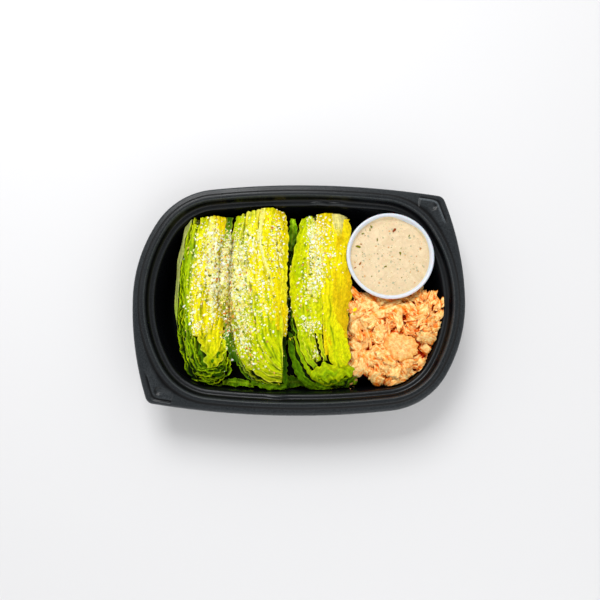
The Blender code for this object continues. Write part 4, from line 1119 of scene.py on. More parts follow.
def rightLeaves():
    # two smooth green leaves, a yellow block, a wide leaf with a cut rib, strips, and the green leaves of
    # the tip
    leaves = fan(4, {"path": [(-1, 52), (-6.6, 34), (-8.2, 14), (-7.6, -6), (-5, -24), (1, -42)],
        "lift": [-6, -7, -6]}, {"path": [(1.4, 58), (-3.6, 38), (-6.4, 18), (-6.2, -2), (-3.2, -20),
        (1.5, -34)], "lift": [-2, -2.5, -2]}, 11, crop=0.15, lean=[(60, 85), (60, 85)],
        ruffle=[0.3, 0.6, 0.8], tint="green darkGreen green", edgeTint="midGreen", edgeStrength=0.6,
        width=[6])
    leaves += faceLeaf([(2.0, 60), (-2, 42), (-5.8, 22), (-6.6, 4), (-4.6, -13), (-0.8, -27), (4, -37)],
        [(9.8, 60.6), (8.6, 42), (7.6, 22), (7, 4), (8, -13), (9.6, -27), (12, -38)],
        lift=(-0.6, 0.8, 0.0), folds=0.34, foldWidth=5.0, foldLength=14.0,
        tint="lightGreen lime lime lightGreen", wrinkle=0.08, creases=(0.7,),
        tintRight="lime lime lime lime", blotchTint="midGreen", crinkle=0.32, crinkleSize=3.0,
        ruffle=(0.7, 0.1), blotch=0.4, wave=12.0, streak=6.0)
    leaves += faceLeaf([(6.4, 60.6), (5.6, 42), (5.4, 22), (6.4, 4), (7.4, -11), (9, -26)],
        [(11.2, 59), (13.4, 42), (15.2, 22), (16.4, 4), (16.8, -11), (17, -27)], lift=(0.5, 1.1, -0.4),
        folds=0.4, foldWidth=4.2, tint="paleLime heart lime lime", blotchTint="cream", crinkle=0.25,
        ruffle=(0.2, 0.2), wave=12.0, creases=(0.35,), wrinkle=0.1, streak=8.0)
    leaves += faceLeaf([(13, 62.2), (12.6, 45), (12.6, 28), (15.0, 10), (16.8, -6), (17.4, -22)],
        [(24.6, 64), (25.4, 45), (26.0, 28), (25.0, 10), (22.8, -8), (19.8, -25)], lift=(0.2, 1.5, 0.2),
        folds=0.4, foldWidth=3.6, thick=1.4, rib=0.4, ribWidth=0.4, ridges=0.3,
        tint="deepHeart heart heart lime", blotchTint="lime", crinkle=0.12, droop=(0.8, 0.8))
    leaves += faceLeaf([(24.2, 60), (23.2, 45), (21.8, 28), (19.8, 8), (18.6, -10), (17.8, -27),
        (18.4, -42)], [(37.6, 59.6), (38.0, 45), (38.2, 28), (38.2, 8), (36.4, -8), (34.6, -24),
        (33, -38)], hold=0.7, lift=(0.2, 0.8, 0.8), folds=0.16, foldWidth=7.0, foldLength=18.0,
        crinkle=[0.1, 0.2, 0.3], wave=11.0, tint="heart heart heart deepHeart", crinkleSize=3.6,
        wrinkle=0.05, tintRight="deepHeart deepHeart gold gold", blotchTint="gold", ruffle=(0.3, 0.7),
        streak=7.0, edgeStrength=0.3, blotch=0.6)
    leaves += faceLeaf([(24.8, 63.4), (25, 57), (26, 50), (28.4, 43)], [(36, 62.6), (35.4, 57), (33.4, 50),
        (30.6, 43)], lift=(0.5, 2.0, 0.2), folds=0.1, rib=0.8, ribWidth=0.5, ridges=0.16, thick=2.2,
        droop=(0.8, 1.4), tint="beige beige deepHeart", blotch=0.1, edgeStrength=0.1, ruffle=(0.1, 0.1),
        crinkle=0.03)
    for shift, name in ((0.0, "lightGreen"), (4.6, "lime"), (9.4, "lime")):
        leaves += faceLeaf([(1.0 + shift, -22), (3.6 + shift, -34), (8.6 + shift * 0.9, -46.4)],
            [(5.6 + shift, -22), (8.2 + shift, -34), (12.2 + shift * 0.9, -45)], lift=(0.7, 0.9, -0.9),
            folds=0.35, foldWidth=3.0, tint=name + " lightGreen", ruffle=(0.6, 0.2), wave=5.0,
            blotchTint="midGreen", droop=(1.0, 1.5), crinkle=0.2, edgeStrength=0.7, creases=(0.5,))
    leaves += faceLeaf([(21.0, -2), (20.2, -15), (19.8, -28), (20.6, -38), (22.6, -46), (27.6, -51)],
        [(23.0, -2), (27.4, -15), (32.6, -25), (35.8, -34), (37.2, -43), (34.4, -49)], hold=0.7,
        lift=(0.8, 1.4, 1.2), folds=0.3, foldWidth=3.6, foldLength=26.0, crinkle=0.2, wrinkle=0.16,
        tint="heart lime lime lightGreen", blotchTint="heart", blotch=0.5,
        tintRight="heart heart lime lime", ruffle=(0.3, 0.4), droop=(0.0, 0.6), creases=(0.3,),
        creaseDepth=0.3, edgeTint="heart", edgeStrength=0.8, streak=6.0)
    leaves += faceLeaf([(-1.8, -25), (1.2, -37), (5.4, -45.6), (10.4, -52)],
        [(3.2, -25), (5.2, -36), (9, -44), (13.4, -50)], lift=(-0.8, -0.2, -0.6), folds=0.2, crinkle=0.12,
        tint="lightGreen lightGreen midGreen", blotchTint="midGreen", ruffle=(0.5, 0.2),
        edgeTint="paleLime", edgeStrength=0.7, streak=8.0)
    leaves += faceLeaf([(7.6, -56.4), (11, -51.4), (15, -50.4), (18.4, -46.6), (23, -48.4), (28, -45.6),
        (34, -47.4), (41, -50.6)], [(11.4, -59.4), (15.4, -57.6), (20, -60.8), (25, -58.2), (29, -60),
        (33, -56.4), (37, -57.2), (41.2, -53)], hold=0.85, lift=([0.4, 1.0, 0.2, 0.8], [-0.2, 0.6, 0.0],
        [-0.8, 0.0, -1.0]), folds=0.45, foldWidth=9.0, foldLength=5.0, crinkle=0.3, crinkleSize=3.2,
        tint="lightGreen lightGreen lime lightGreen", wrinkle=0.1,
        tintRight="midGreen lightGreen midGreen", blotchTint="midGreen", blotch=0.7, ruffle=(0.7, 0.9),
        wave=6.0, edgeStrength=0.6, edgeTint="lime", streak=8.0)
    leaves += faceLeaf([(12, -57), (18, -59), (26, -57), (33, -58), (39.4, -54)],
        [(12, -63.6), (19, -66.4), (26, -65), (33.6, -66.2), (39, -61)], hold=0.85,
        lift=(-1.8, [-2.2, -3.4, -2.2], -4.6), folds=0.9, foldWidth=6.0, foldLength=3.4, crinkle=0.35,
        crinkleSize=3.2, tint="green midGreen green", blotch=0.9, blotchTint="darkGreen",
        ruffle=(1.0, 1.1), wave=6.0, streak=6.0, edgeTint="lightGreen")
    leaves += fan(4, {"path": [(6, -52), (12, -55.6), (20, -57), (30, -55.4), (40.6, -52)],
        "lift": [-0.8, -0.4, -1.0]}, {"path": [(8, -60.6), (16, -64.4), (24, -66), (33, -64.4), (40, -59)],
        "lift": [-3.4, -4.0, -4.4]}, 43, lean=[(25, 75)], ruffle=[0.7, 1.2, 0.8], wave=7.0, width=[4.0],
        wander=0.9, hold=0.85, shade=0.9, tint="midGreen lightGreen green", edgeTint="lime",
        edgeStrength=0.7, edgeWidth=0.2)
    leaves += faceLeaf([(-8.2, -24), (-7.2, -38), (-4.4, -50), (1, -59.6), (9, -65.6), (20, -67)],
        [(-4.4, -26), (-2.8, -40), (1, -50.4), (7, -58), (14, -62.6), (24, -64.6)],
        lift=(-4.6, -2.8, -3.0), folds=0.3, tint="darkGreen green green midGreen", blotchTint="darkGreen",
        ruffle=(0.5, 0.4), edgeTint="midGreen", crinkle=0.4, crinkleSize=3.0, blotch=0.9, streak=6.0)
    leaves += faceLeaf([(-3.8, -28), (-1.2, -40), (4, -50.6), (10, -57.4), (18, -62)],
        [(-1.6, -28), (1.2, -39), (6.2, -48.6), (12, -55), (19, -59.6)], lift=(-1.6, -0.8, -2.0),
        folds=0.15, tint="midGreen midGreen lightGreen", blotchTint="green", ruffle=(0.4, 0.3),
        edgeTint="lime", edgeStrength=0.8, edgeWidth=0.5, crinkle=0.15, streak=6.0)
    return leaves


# (y, left edge, right edge, top) from the stem end to the tip, in millimetres, as in the part
wedges = {
    "lettuce_left": {"lean": 0.0, "leaves": leftLeaves, "seed": 100,
        "stations": [(60.5, -81.5, -55.5, 32.0), (50.0, -85.0, -53.4, 34.5), (26.0, -89.6, -53.4, 35.5),
        (0.0, -90.2, -54.4, 35.5), (-27.0, -87.3, -54.8, 35.0), (-45.0, -84.0, -53.4, 33.0),
        (-57.0, -79.0, -54.0, 29.0), (-63.0, -73.0, -60.0, 24.0)]},
    "lettuce_middle": {"lean": 0.0, "leaves": middleLeaves, "seed": 200,
        "stations": [(65.5, -43.0, -14.5, 33.5), (56.0, -46.8, -10.0, 36.0), (42.0, -50.3, -8.3, 37.0),
        (20.0, -51.0, -8.8, 37.0), (0.0, -51.6, -9.2, 37.0), (-22.0, -49.6, -9.8, 36.0),
        (-38.0, -46.4, -11.8, 34.5), (-50.0, -40.5, -12.2, 32.0), (-60.0, -31.0, -13.5, 27.0)]},
    "lettuce_right": {"lean": -3.5, "leaves": rightLeaves, "seed": 300,
        "stations": [(62.5, 3.5, 36.0, 31.5), (50.0, 0.4, 37.6, 34.0), (30.0, -4.2, 38.0, 35.0),
        (10.0, -6.2, 37.6, 35.0), (-20.0, -6.3, 34.6, 34.5), (-38.0, -5.4, 35.0, 33.0),
        (-50.0, -2.4, 36.4, 30.0), (-60.0, 5.0, 36.6, 26.0), (-65.0, 13.0, 34.0, 22.0)]}}
coreValues = {"shoulder": 0.62, "rows": 110, "sides": 96, "drop": 4.4 * mm, "inset": 1.6 * mm,
    "streak": 0.8 * mm, "narrowing": 0.42, "stemPart": 55 * mm, "square": (0.62, 0.75), "girth": 14 * mm,
    "streakSize": 3.2 * mm}

# (x, y, spread in x, spread in y, count) of each patch of cheese on the leaves, in millimetres
cheesePatches = [(-62, 30, 6, 16, 1600), (-60, 8, 4.5, 14, 800), (-74, 16, 4, 13, 300),
    (-77, -12, 3, 9, 170), (-62, -4, 3.5, 12, 300), (-71, -22, 3.5, 4, 150), (-68, 44, 6, 9, 200),
    (-51.5, 22, 3, 17, 1500), (-44, 22, 5, 18, 900), (-43, -2, 6, 16, 1000), (-40, -27, 5, 11, 620),
    (-35, 40, 6, 12, 380), (-31, 14, 7, 16, 420), (-17, 42, 5, 17, 640), (-23, -8, 7, 14, 330),
    (-51, -20, 2.4, 10, 180), (-30, -44, 7, 8, 120), (10, 46, 3.4, 9, 420), (13, 24, 4.4, 11, 900),
    (9, 4, 4, 7, 300), (8, -21, 4.5, 4, 260), (17, 50, 5, 8, 260), (0, 0, 4, 18, 90), (12, -41, 2, 3, 60),
    (26, 30, 5, 12, 70), (-7.5, -14, 1.6, 10, 80)]


# how far the sprinkles really spread, as a share of each patch's spread
patchSpread = 0.8


def cheeseThickness(x, y):
    # how closely the cheese lies at each place: the sum of every patch's bell curve, as grains per square
    # millimetre
    total = np.zeros(x.shape)
    for px, py, sx, sy, count in cheesePatches:
        sx, sy = sx * patchSpread, sy * patchSpread
        bellCurve = np.exp(-((x / mm - px) / sx) ** 2 / 2 - ((y / mm - py) / sy) ** 2 / 2)
        total += count / (math.tau * sx * sy) * bellCurve
    return total


def wedgeCore(wedge):
    # the inner mass below the leaves: rounded-square sections along Y, narrower below, with long streaks
    keys = np.array(wedge["stations"])[:, 0] * mm
    share = np.linspace(0, 1, coreValues["rows"])
    y = keys[0] - 1.0 * mm + (keys[-1] + 2 * mm - keys[0]) * (share - 0.06 * np.sin(math.tau * share))
    left, right, top, bottom = wedgeShape(wedge, y)
    left, right = left + coreValues["inset"], right - coreValues["inset"]
    middle = bottom + (top - bottom) * coreValues["shoulder"]
    angle = np.linspace(0, math.tau, coreValues["sides"], endpoint=False)
    across = np.sign(np.cos(angle)) * np.abs(np.cos(angle)) ** coreValues["square"][0]
    upward = np.sign(np.sin(angle)) * np.abs(np.sin(angle)) ** coreValues["square"][1]
    narrow = 1 - coreValues["narrowing"] * np.clip(-upward, 0, 1) ** 1.2
    x = ((left + right) / 2)[:, None] + np.outer((right - left) / 2, across * narrow)
    y = np.broadcast_to(y[:, None], x.shape)
    above = wedgeTop(wedge, x, y) - coreValues["drop"]
    crown = middle[:, None] + (above - middle[:, None]) * np.clip(upward * 3, 0, 1)
    z = np.where(upward > 0, crown, middle[:, None] + np.outer(middle - bottom, upward))
    around = angle * coreValues["girth"] + 0 * x
    streak = coreValues["streak"] * waves(around, y * 0.1, coreValues["streakSize"], wedge["seed"])
    z = z + streak * np.abs(np.sin(angle))
    x = x + streak * np.cos(angle)
    points, faces = closeRings(np.stack([x, y, z], axis=-1))
    # painted shade: the core, seen only in the gaps between leaves, is near-black green, turning to dark
    # olive towards the stem, lighter on its upper side, with long streaks
    inner = np.clip(np.sin(angle), 0, 1)[:, None]
    stem = np.clip((y - wedge["stations"][-1][0] * mm) / coreValues["stemPart"] - 0.35, 0, 1)[..., None]
    deep, olive = (np.array(leafColours[name]) for name in ("deepGreen", "olive"))
    tint = deep * (1 - stem) + olive * stem * (0.2 + 0.4 * inner)
    tint = tint * (1 + 0.35 * (streak / coreValues["streak"])[..., None])
    tint = np.clip(np.vstack([tint.reshape(-1, 3), tint[0].mean(axis=0), tint[-1].mean(axis=0)]), 0, 254)
    return points, faces, tint, np.zeros((len(points), 2))


# looks of the leaves: vein lines, cheese powder, then the leaf's own mottle and gloss
leafLooks = {
    "veins": ({"kind": "POINT", "mapping": {"Scale": (70.0, 480.0, 1.0)}, "noise": (4.0, 0.6, 0.5),
        "width": 0.035, "strength": 1.0}, {"kind": "TEXTURE", "mapping": {"Rotation": (0.0, 0.0, -0.75),
        "Scale": (0.014, 0.0014, 1.0)}, "noise": (2.0, 0.5, 0.3), "width": 0.045, "strength": 0.6}),
    "powder": {"clumps": (190.0, 5.0, 0.7), "uneven": (0.42, 0.60, 0.35, 2.4), "scales": (950.0, 1700.0),
        "edge": 0.25, "cover": (0.2, 0.75, 0.0, 0.55)},
    "speckle": (420.0, 7.0, 0.65),
    "mottle": (0.32, 0.68, 0.78, 1.22),
    "veinDepth": 0.5,
    "veinColour": (0.52, 0.58, 0.30, 1.0),
    "veil": srgb(255, 242, 92),
    "grains": (srgb(255, 240, 108), srgb(255, 253, 226)),
    "specular": 0.07,
    "soft": 0.08,
    "depth": 0.0015,
    "relief": (0.6, 0.0005)}


def newGroup(name, inputs, outputs):
    # an empty group of shader nodes: its tree, its inputs' sockets and the node that takes its results
    group = bpy.data.node_groups.new(name, "ShaderNodeTree")
    for label, (kind, value) in inputs.items():
        socket = group.interface.new_socket(label, in_out="INPUT", socket_type="NodeSocket" + kind)
        if value is not None:
            socket.default_value = value
    for label, kind in outputs.items():
        group.interface.new_socket(label, in_out="OUTPUT", socket_type="NodeSocket" + kind)
    return group, group.nodes.new("NodeGroupInput").outputs, group.nodes.new("NodeGroupOutput")


def veinLines(tree, place, values):
    # lines where a noise that is drawn out along the leaf crosses its middle value
    drawn = addNode(tree, "Mapping", {"Vector": place, **values["mapping"]}, vector_type=values["kind"])
    height = noise(tree, drawn.outputs["Vector"], 1.0, *values["noise"])
    distance = calculate(tree, "ABSOLUTE", calculate(tree, "SUBTRACT", height, 0.5))
    return remap(tree, distance, 0.0, values["width"], values["strength"], 0.0)


def leafVeins():
    # mask of dark lines: those drawn out along the leaf, and fainter ones at a slant to it
    group, source, result = newGroup("leafVeins", {"Vector": ("Vector", None)}, {"Veins": "Float"})
    lines = [veinLines(group, source["Vector"], values) for values in leafLooks["veins"]]
    setSockets(group, result, {"Veins": calculate(group, "MAXIMUM", *lines)})
    return group


def cheesePowder():
    # Cover is a soft veil of fine cheese, Mask its separate grains: a grain shows where a cell's own
    # distance is below the amount, which clumps unevenly. Shade is each grain's random tone.
    looks = leafLooks["powder"]
    group, source, result = newGroup("cheesePowder", {"Vector": ("Vector", None), "Amount": ("Float", 0.0)},
                                     {"Cover": "Float", "Mask": "Float", "Shade": "Float"})
    clumps = remap(group, noise(group, source["Vector"], *looks["clumps"]), *looks["uneven"])
    amount = calculate(group, "MULTIPLY", source["Amount"], clumps)
    masks = []
    for scale in looks["scales"]:
        cells = addNode(group, "TexVoronoi", {"Vector": source["Vector"], "Scale": scale}).outputs
        masks.append(remap(group, calculate(group, "SUBTRACT", amount, cells["Distance"]), 0.0,
            looks["edge"]))
    setSockets(group, result, {"Cover": remap(group, amount, *looks["cover"]),
                               "Mask": calculate(group, "MAXIMUM", *masks), "Shade": cells["Color"]})
    return group


def leafMaterial(name, veins, powder, gloss):
    # leaf colour from the mesh, mottled, darker along the veins, dusted with fine cheese, with a fine bump
    looks = leafLooks
    material, tree, place = newMaterial(name)
    tint = meshTint(tree)
    lines = addNode(tree, "Group", {"Vector": meshAlong(tree)}, node_tree=veins).outputs["Veins"]
    dust = addNode(tree, "Group", {"Vector": place, "Amount": tint["Alpha"]}, node_tree=powder).outputs
    speckle = noise(tree, place, *looks["speckle"])
    mottled = blend(tree, 1.0, tint["Color"], remap(tree, speckle, *looks["mottle"]), "MULTIPLY")
    depth = calculate(tree, "MULTIPLY", lines, looks["veinDepth"])
    veined = blend(tree, depth, mottled, looks["veinColour"], "MULTIPLY")
    veiled = blend(tree, dust["Cover"], veined, looks["veil"])
    dusted = blend(tree, dust["Mask"], veiled, blend(tree, dust["Shade"], *looks["grains"]))
    height = calculate(tree, "ADD", calculate(tree, "SUBTRACT", speckle, depth), dust["Mask"])
    return finishMaterial(material, Base_Color=dusted, Roughness=gloss,
        Specular_IOR_Level=looks["specular"], Subsurface_Weight=looks["soft"],
        Subsurface_Scale=looks["depth"], Normal=relief(tree, height, *looks["relief"]))


def insideTray(points, gap):
    # pulls points in from the tray's wall at their own height: an oval's signed distance, quarter by
    # quarter
    sign = np.where(points[..., :2] < 0, -1.0, 1.0)
    folded = np.abs(points[..., :2])
    angles = np.arctan2(folded[..., 1] - cornerPoint[1], folded[..., 0] - cornerPoint[0])
    short = (angles < angleOf(cornerPoint - shortCentre))[..., None]
    long = (angles > angleOf(cornerPoint - longCentre))[..., None]
    centre = np.where(short, shortCentre, np.where(long, longCentre, cornerPoint))
    radius = np.where(short, tray["shortRadius"], np.where(long, tray["longRadius"], tray["cornerRadius"]))
    offset = folded - centre
    distance = np.maximum(np.linalg.norm(offset, axis=-1, keepdims=True), mm)
    skin = upperSkin[6:][::-1]
    wall = np.interp(points[..., 2], tray["height"] - skin[:, 1], skin[:, 0])[..., None] + gap
    moved = points.copy()
    moved[..., :2] -= sign * offset / distance * np.maximum(wall - (radius - distance), 0)
    return moved


def clearOfPot(points, gap):
    # pushes points out of the cone that holds the pot
    share = np.clip((points[..., 2] - pot["base"]) / pot["coneHeight"], 0, 1)
    radius = pot["coneFoot"] + pot["coneWidens"] * share + gap
    offset = points[..., :2] - pot["centre"]
    distance = np.maximum(np.linalg.norm(offset, axis=-1), mm)
    moved = points.copy()
    moved[..., :2] += (np.maximum(radius - distance, 0) / distance)[..., None] * offset
    return moved


def between(points, wallGap, potGap):
    # points kept between the tray's wall and the pot
    return clearOfPot(insideTray(points, wallGap), potGap)


def joinParts(parts):
    # several (points, faces, tint, along) parts as one
    offset, allFaces = 0, []
    for points, faces, _, _ in parts:
        for group in faces if isinstance(faces, list) else [faces]:
            allFaces.append(group + offset)
        offset += len(points)
    points, tint, along = (np.vstack([part[index] for part in parts]) for index in (0, 2, 3))
    return points, allFaces, tint, along


wedgeLimits = {"wallGap": 0.7 * mm, "potGap": 0.3 * mm, "floor": 1.6 * mm, "powder": 0.08,
    "mostPowder": 0.28, "powderDepth": 2.5}


def makeWedge(name, wedge, material):
    # core and leaves joined into one piece, kept clear of the wall, the pot and the floor; its powder is as
    # thick as the patches of cheese, and thins out below the wedge's top
    parts = [wedgeCore(wedge)]
    for index, leaf in enumerate(wedge["leaves"]()):
        build = makeHangingLeaf if "path" in leaf else makeFaceLeaf
        parts.append(build(leaf, wedge, wedge["seed"] + 20 * index))
    points, faces, tint, along = joinParts(parts)
    points = between(points, wedgeLimits["wallGap"], wedgeLimits["potGap"])
    points[:, 2] = np.maximum(points[:, 2], wedgeLimits["floor"])
    sunk = (wedgeTop(wedge, points[:, 0], points[:, 1]) - points[:, 2]) / mm
    powder = np.clip(cheeseThickness(points[:, 0], points[:, 1]) * wedgeLimits["powder"], 0,
        wedgeLimits["mostPowder"])
    powder = powder * np.clip(1.6 - sunk / wedgeLimits["powderDepth"], 0, 1)
    piece = makeMesh(name + "_leaves", points, faces, material,
        np.column_stack([linearTint(tint), powder]), along)
    return ontoFrame(piece, "romaine", name)


veinGroup, powderGroup = leafVeins(), cheesePowder()
romaine = leafMaterial("romaine", veinGroup, powderGroup, 0.5)
wedgePieces = [makeWedge(name, wedge, romaine) for name, wedge in wedges.items()]
print("romaine wedges made")


# loose leaves in the tray: both ends of the rib, the middle's offset and the width, in millimetres
looseLeaves = {
    "leaf_back": {"start": (-6.8, 36.5, 23.0), "end": (-4.4, 60.5, 26.5), "bow": (1.0, 0.0, 0.5),
        "width": 6.4, "names": "darkGreen green midGreen", "curl": 1.4},
    "leaf_front_left": {"start": (-56.0, -60.8, 18.0), "end": (-33.0, -62.8, 16.5), "bow": (0.0, 1.2, 1.5),
        "width": 5.6, "names": "midGreen green midGreen", "curl": 1.0},
    "leaf_front_middle": {"start": (-30.0, -59.0, 12.0), "end": (4.0, -60.0, 11.5),
        "bow": (0.0, -0.6, 1.5), "width": 9.0, "names": "green darkGreen green", "curl": 1.6},
    "leaf_front_right": {"start": (38.4, -51.0, 19.5), "end": (40.6, -62.5, 15.5), "bow": (0.6, 0.0, 1.5),
        "width": 5.0, "names": "lightGreen midGreen green", "curl": 1.2}}


scrapDetail = {"rowStep": 0.45, "columns": 26, "ribWidth": 0.8, "ribHeight": 0.4, "thick": 0.4}


def makeLooseLeaf(name, leaf, material, seed):
    # A torn scrap of leaf: a blade along a bowed rib, wider in the middle, crinkled, with a ragged ruffled
    # edge.
    start, end, bow = (np.array(leaf[key], float) for key in ("start", "end", "bow"))
    length = np.linalg.norm(end - start)
    rows, columns = int(length / scrapDetail["rowStep"]) + 10, scrapDetail["columns"]
    along = np.linspace(0, 1, rows)[:, None]
    across = np.linspace(-1, 1, columns)[None, :]
    direction = (end - start) / length
    sideways = np.array([-direction[1], direction[0], 0.0])
    side = np.sign(across) * 40
    ragged = (1 + 0.16 * waves(along * length, side, 6.0, seed)
              + 0.08 * waves(along * length, side, 2.2, seed + 1))
    half = leaf["width"] / 2 * (0.25 + 0.75 * np.sin(math.pi * (0.06 + 0.88 * along)) ** 0.6) * ragged
    rib = start + (end - start) * along[..., None] + bow * (4 * along * (1 - along))[..., None]
    points = rib + sideways * (across * half)[..., None]
    out = across * half
    drift = 2 * slow(along * length, 14.0, seed + 2)
    wave = np.sin(math.tau * along * length / 5.5 + 1.5 * np.sign(across) + drift)
    curl = leaf["curl"] * across**2 * (0.4 + 0.5 * wave)
    points[..., 2] += (0.7 * waves(along * length, out, 4.5, seed + 3) + curl
                       + scrapDetail["ribHeight"] * bell(out, 0, 0.7))
    points, faces = closeSheet(points * mm, (points - (0, 0, scrapDetail["thick"])) * mm)
    points = insideTray(points, wedgeLimits["wallGap"])
    tint = tintRows(leaf["names"], along[:, 0], columns)
    pale = 0.3 * bell(out, 0, scrapDetail["ribWidth"]) + 0.35 * (np.abs(across) > 0.93)
    tint = fade(tint, np.array(leafColours["paleLime"]), pale[..., None])
    tint = tint * (1 + 0.14 * waves(along * length, out, 9.0, seed + 4)[..., None])
    pairs = np.stack([np.broadcast_to(along * length, out.shape), out], axis=-1) * mm
    shades = np.column_stack([linearTint(bothSkins(np.clip(tint, 0, 254))), np.zeros(len(points))])
    piece = makeMesh(name + "_scrap", points, faces, material, shades, bothSkins(pairs))
    faceOutwards(piece)
    return ontoFrame(piece, "green_leaf", name)


greenLeaf = leafMaterial("green_leaf", veinGroup, powderGroup, 0.42)
scrapPieces = [makeLooseLeaf(name, leaf, greenLeaf, 400 + 10 * index)
               for index, (name, leaf) in enumerate(looseLeaves.items())]
print("loose leaves made")


# outline and heights as in the part, then four sizes of flake
salmon = {"centre": np.array([70.5, -29.0]) * mm, "half": np.array([35.0, 37.0]) * mm, "back": 4.0,
    "front": 2.2, "top": 32.0 * mm, "edge": 22.0 * mm, "base": 1.5 * mm, "coreDrop": 3.8 * mm,
    "leftLimit": 39.0 * mm, "rises": ((0.64, 0.5, 11.0), (2.35, 0.5, 9.0)), "rightLimit": 104.4 * mm,
    "seed": 21, "sides": 120, "coreRings": 48, "foot": ((0.72, 0.0), (0.80, 0.2), (0.88, 0.5),
    (0.93, 0.85)), "footDrop": 4.0 * mm, "coreLump": 0.8 * mm, "coreLumpSize": 4.0 * mm,
    "coreGaps": (2.0 * mm, 1.2 * mm), "flakeGaps": (1.0 * mm, 0.7 * mm), "lump": 1.8 * mm,
    "lumpSize": 15.0 * mm, "besidePot": (31.5 * mm, 1.5 * mm, 0.9), "overLeft": 4.5 * mm,
    "underFlake": 5.0 * mm, "depthShade": 0.11}
flakeSizes = {
    "chunks": {"count": 96, "length": (8.0, 16.0), "width": (5.0, 9.5), "thick": (3.2, 5.4), "rings": 22,
        "sides": 26, "ridges": (7, 12), "lumps": 0.14, "low": 2.4, "high": 0.4, "tilt": 20.0, "strands": 0},
    "strips": {"count": 44, "length": (4.5, 10.0), "width": (1.4, 3.0), "thick": (1.2, 2.2), "rings": 16,
        "sides": 10, "ridges": (3, 5), "lumps": 0.14, "low": 0.6, "high": 1.0, "tilt": 12.0, "strands": 8},
    "shreds": {"count": 26, "length": (2.4, 6.0), "width": (0.7, 1.5), "thick": (0.5, 1.2), "rings": 8,
        "sides": 7, "ridges": (2, 3), "lumps": 0.2, "low": 0.8, "high": 1.2, "tilt": 20.0, "strands": 9},
    "crumbs": {"count": 300, "length": (1.2, 3.4), "width": (0.8, 1.9), "thick": (0.6, 1.4), "rings": 5,
        "sides": 7, "ridges": (2, 3), "lumps": 0.3, "low": 0.6, "high": 0.9, "tilt": 40.0, "strands": 0}}
largeFlakes = {
    "salmon_flake_front": {"centre": (72.8, -35.6), "size": (12.6, 9.6), "turn": -15.0, "seat": 31.2},
    "salmon_flake_left": {"centre": (48.0, -17.6), "size": (9.0, 6.2), "turn": -20.0, "seat": 27.0},
    "salmon_flake_right": {"centre": (92.0, -12.6), "size": (9.0, 5.6), "turn": -10.0, "seat": 28.0}}
salmonColours = {"light": (255, 226, 168), "mid": (255, 150, 34), "orange": (251, 94, 0),
    "deep": (190, 32, 0)}


def heapReach(angle):
    # distance from the heap's centre to its edge: a rounded square, squarer at the back, with bumps
    power = np.where(np.sin(angle) > 0, salmon["back"], salmon["front"])
    reach = (np.abs(np.cos(angle) / salmon["half"][0]) ** power
             + np.abs(np.sin(angle) / salmon["half"][1]) ** power) ** (-1 / power)
    return reach * (1 + 0.035 * np.sin(5 * angle + 1.0) + 0.025 * np.sin(9 * angle))


def heapShare(x, y):
    # distance from the heap's centre as a share of its reach that way: 1 at the edge
    offset = np.stack([x, y], axis=-1) - salmon["centre"]
    return np.hypot(offset[..., 0], offset[..., 1]) / heapReach(np.arctan2(offset[..., 1], offset[..., 0]))


def heapHeight(x, y):
    # high in the middle, lumpy, and lower beside the pot
    out = np.clip(heapShare(x, y), 0, 1)
    angle = np.arctan2(y - salmon["centre"][1], x - salmon["centre"][0])
    rises = sum(rise * mm * np.exp(-((angle - turn) / wide) ** 2) for turn, wide, rise in salmon["rises"])
    edge = salmon["edge"] + rises
    height = edge + (salmon["top"] - edge) * (1 - out**2.4)
    height = height + salmon["lump"] * waves(x, y, salmon["lumpSize"], seed=11) * (1 - 0.5 * out)
    potReach, rise, slope = salmon["besidePot"]
    toPot = np.hypot(x - pot["centre"][0], y - pot["centre"][1]) - potReach
    return np.minimum(height, salmon["edge"] + rise + np.clip(toPot, 0, None) * slope)


def salmonCore():
    # the inner mass: rings that shrink towards the middle, lower than the heap's top
    angle = np.linspace(0, math.tau, salmon["sides"], endpoint=False)
    reach = heapReach(angle)
    circle = np.array([np.cos(angle), np.sin(angle)])
    rings = []
    for share, height in salmon["foot"]:
        x, y = salmon["centre"][:, None] + share * reach * circle
        level = salmon["base"] + height * (salmon["edge"] - salmon["footDrop"])
        rings.append(np.stack([x, y, np.full(salmon["sides"], level)], axis=-1))
    for share in np.linspace(0.93, 0.02, salmon["coreRings"]):
        x, y = salmon["centre"][:, None] + share * reach * circle
        z = heapHeight(x, y) - salmon["coreDrop"] + salmon["coreLump"] * waves(x, y,
            salmon["coreLumpSize"], 31)
        rings.append(np.stack([x, y, z], axis=-1))
    rings = between(np.array(rings), *salmon["coreGaps"])
    rings[..., 0] = np.maximum(rings[..., 0], salmon["leftLimit"] + salmon["coreLump"])
    points, faces = closeRings(rings)
    # painted shade: the core shows only in the gaps between flakes, so it is deep red-orange to orange
    lumps = waves(points[:, 0], points[:, 1], salmon["coreLumpSize"], 31)
    deep, orange = (np.array(salmonColours[name]) for name in ("deep", "orange"))
    tint = fade(deep, orange, 0.5 + 0.5 * np.clip(lumps, -1, 1)[:, None])
    return points, faces, tint, points[:, :2]


def turnMatrices(normal, yaw):
    # rotations that lay a shape on a slope: local Z on the normal, then a turn about it
    normal = normal / np.linalg.norm(normal, axis=1, keepdims=True)
    helper = np.stack([np.cos(yaw), np.sin(yaw), np.zeros_like(yaw)], axis=1)
    across = np.cross(normal, helper)
    across /= np.linalg.norm(across, axis=1, keepdims=True)
    forward = np.cross(across, normal)
    return np.stack([forward, across, normal], axis=2)


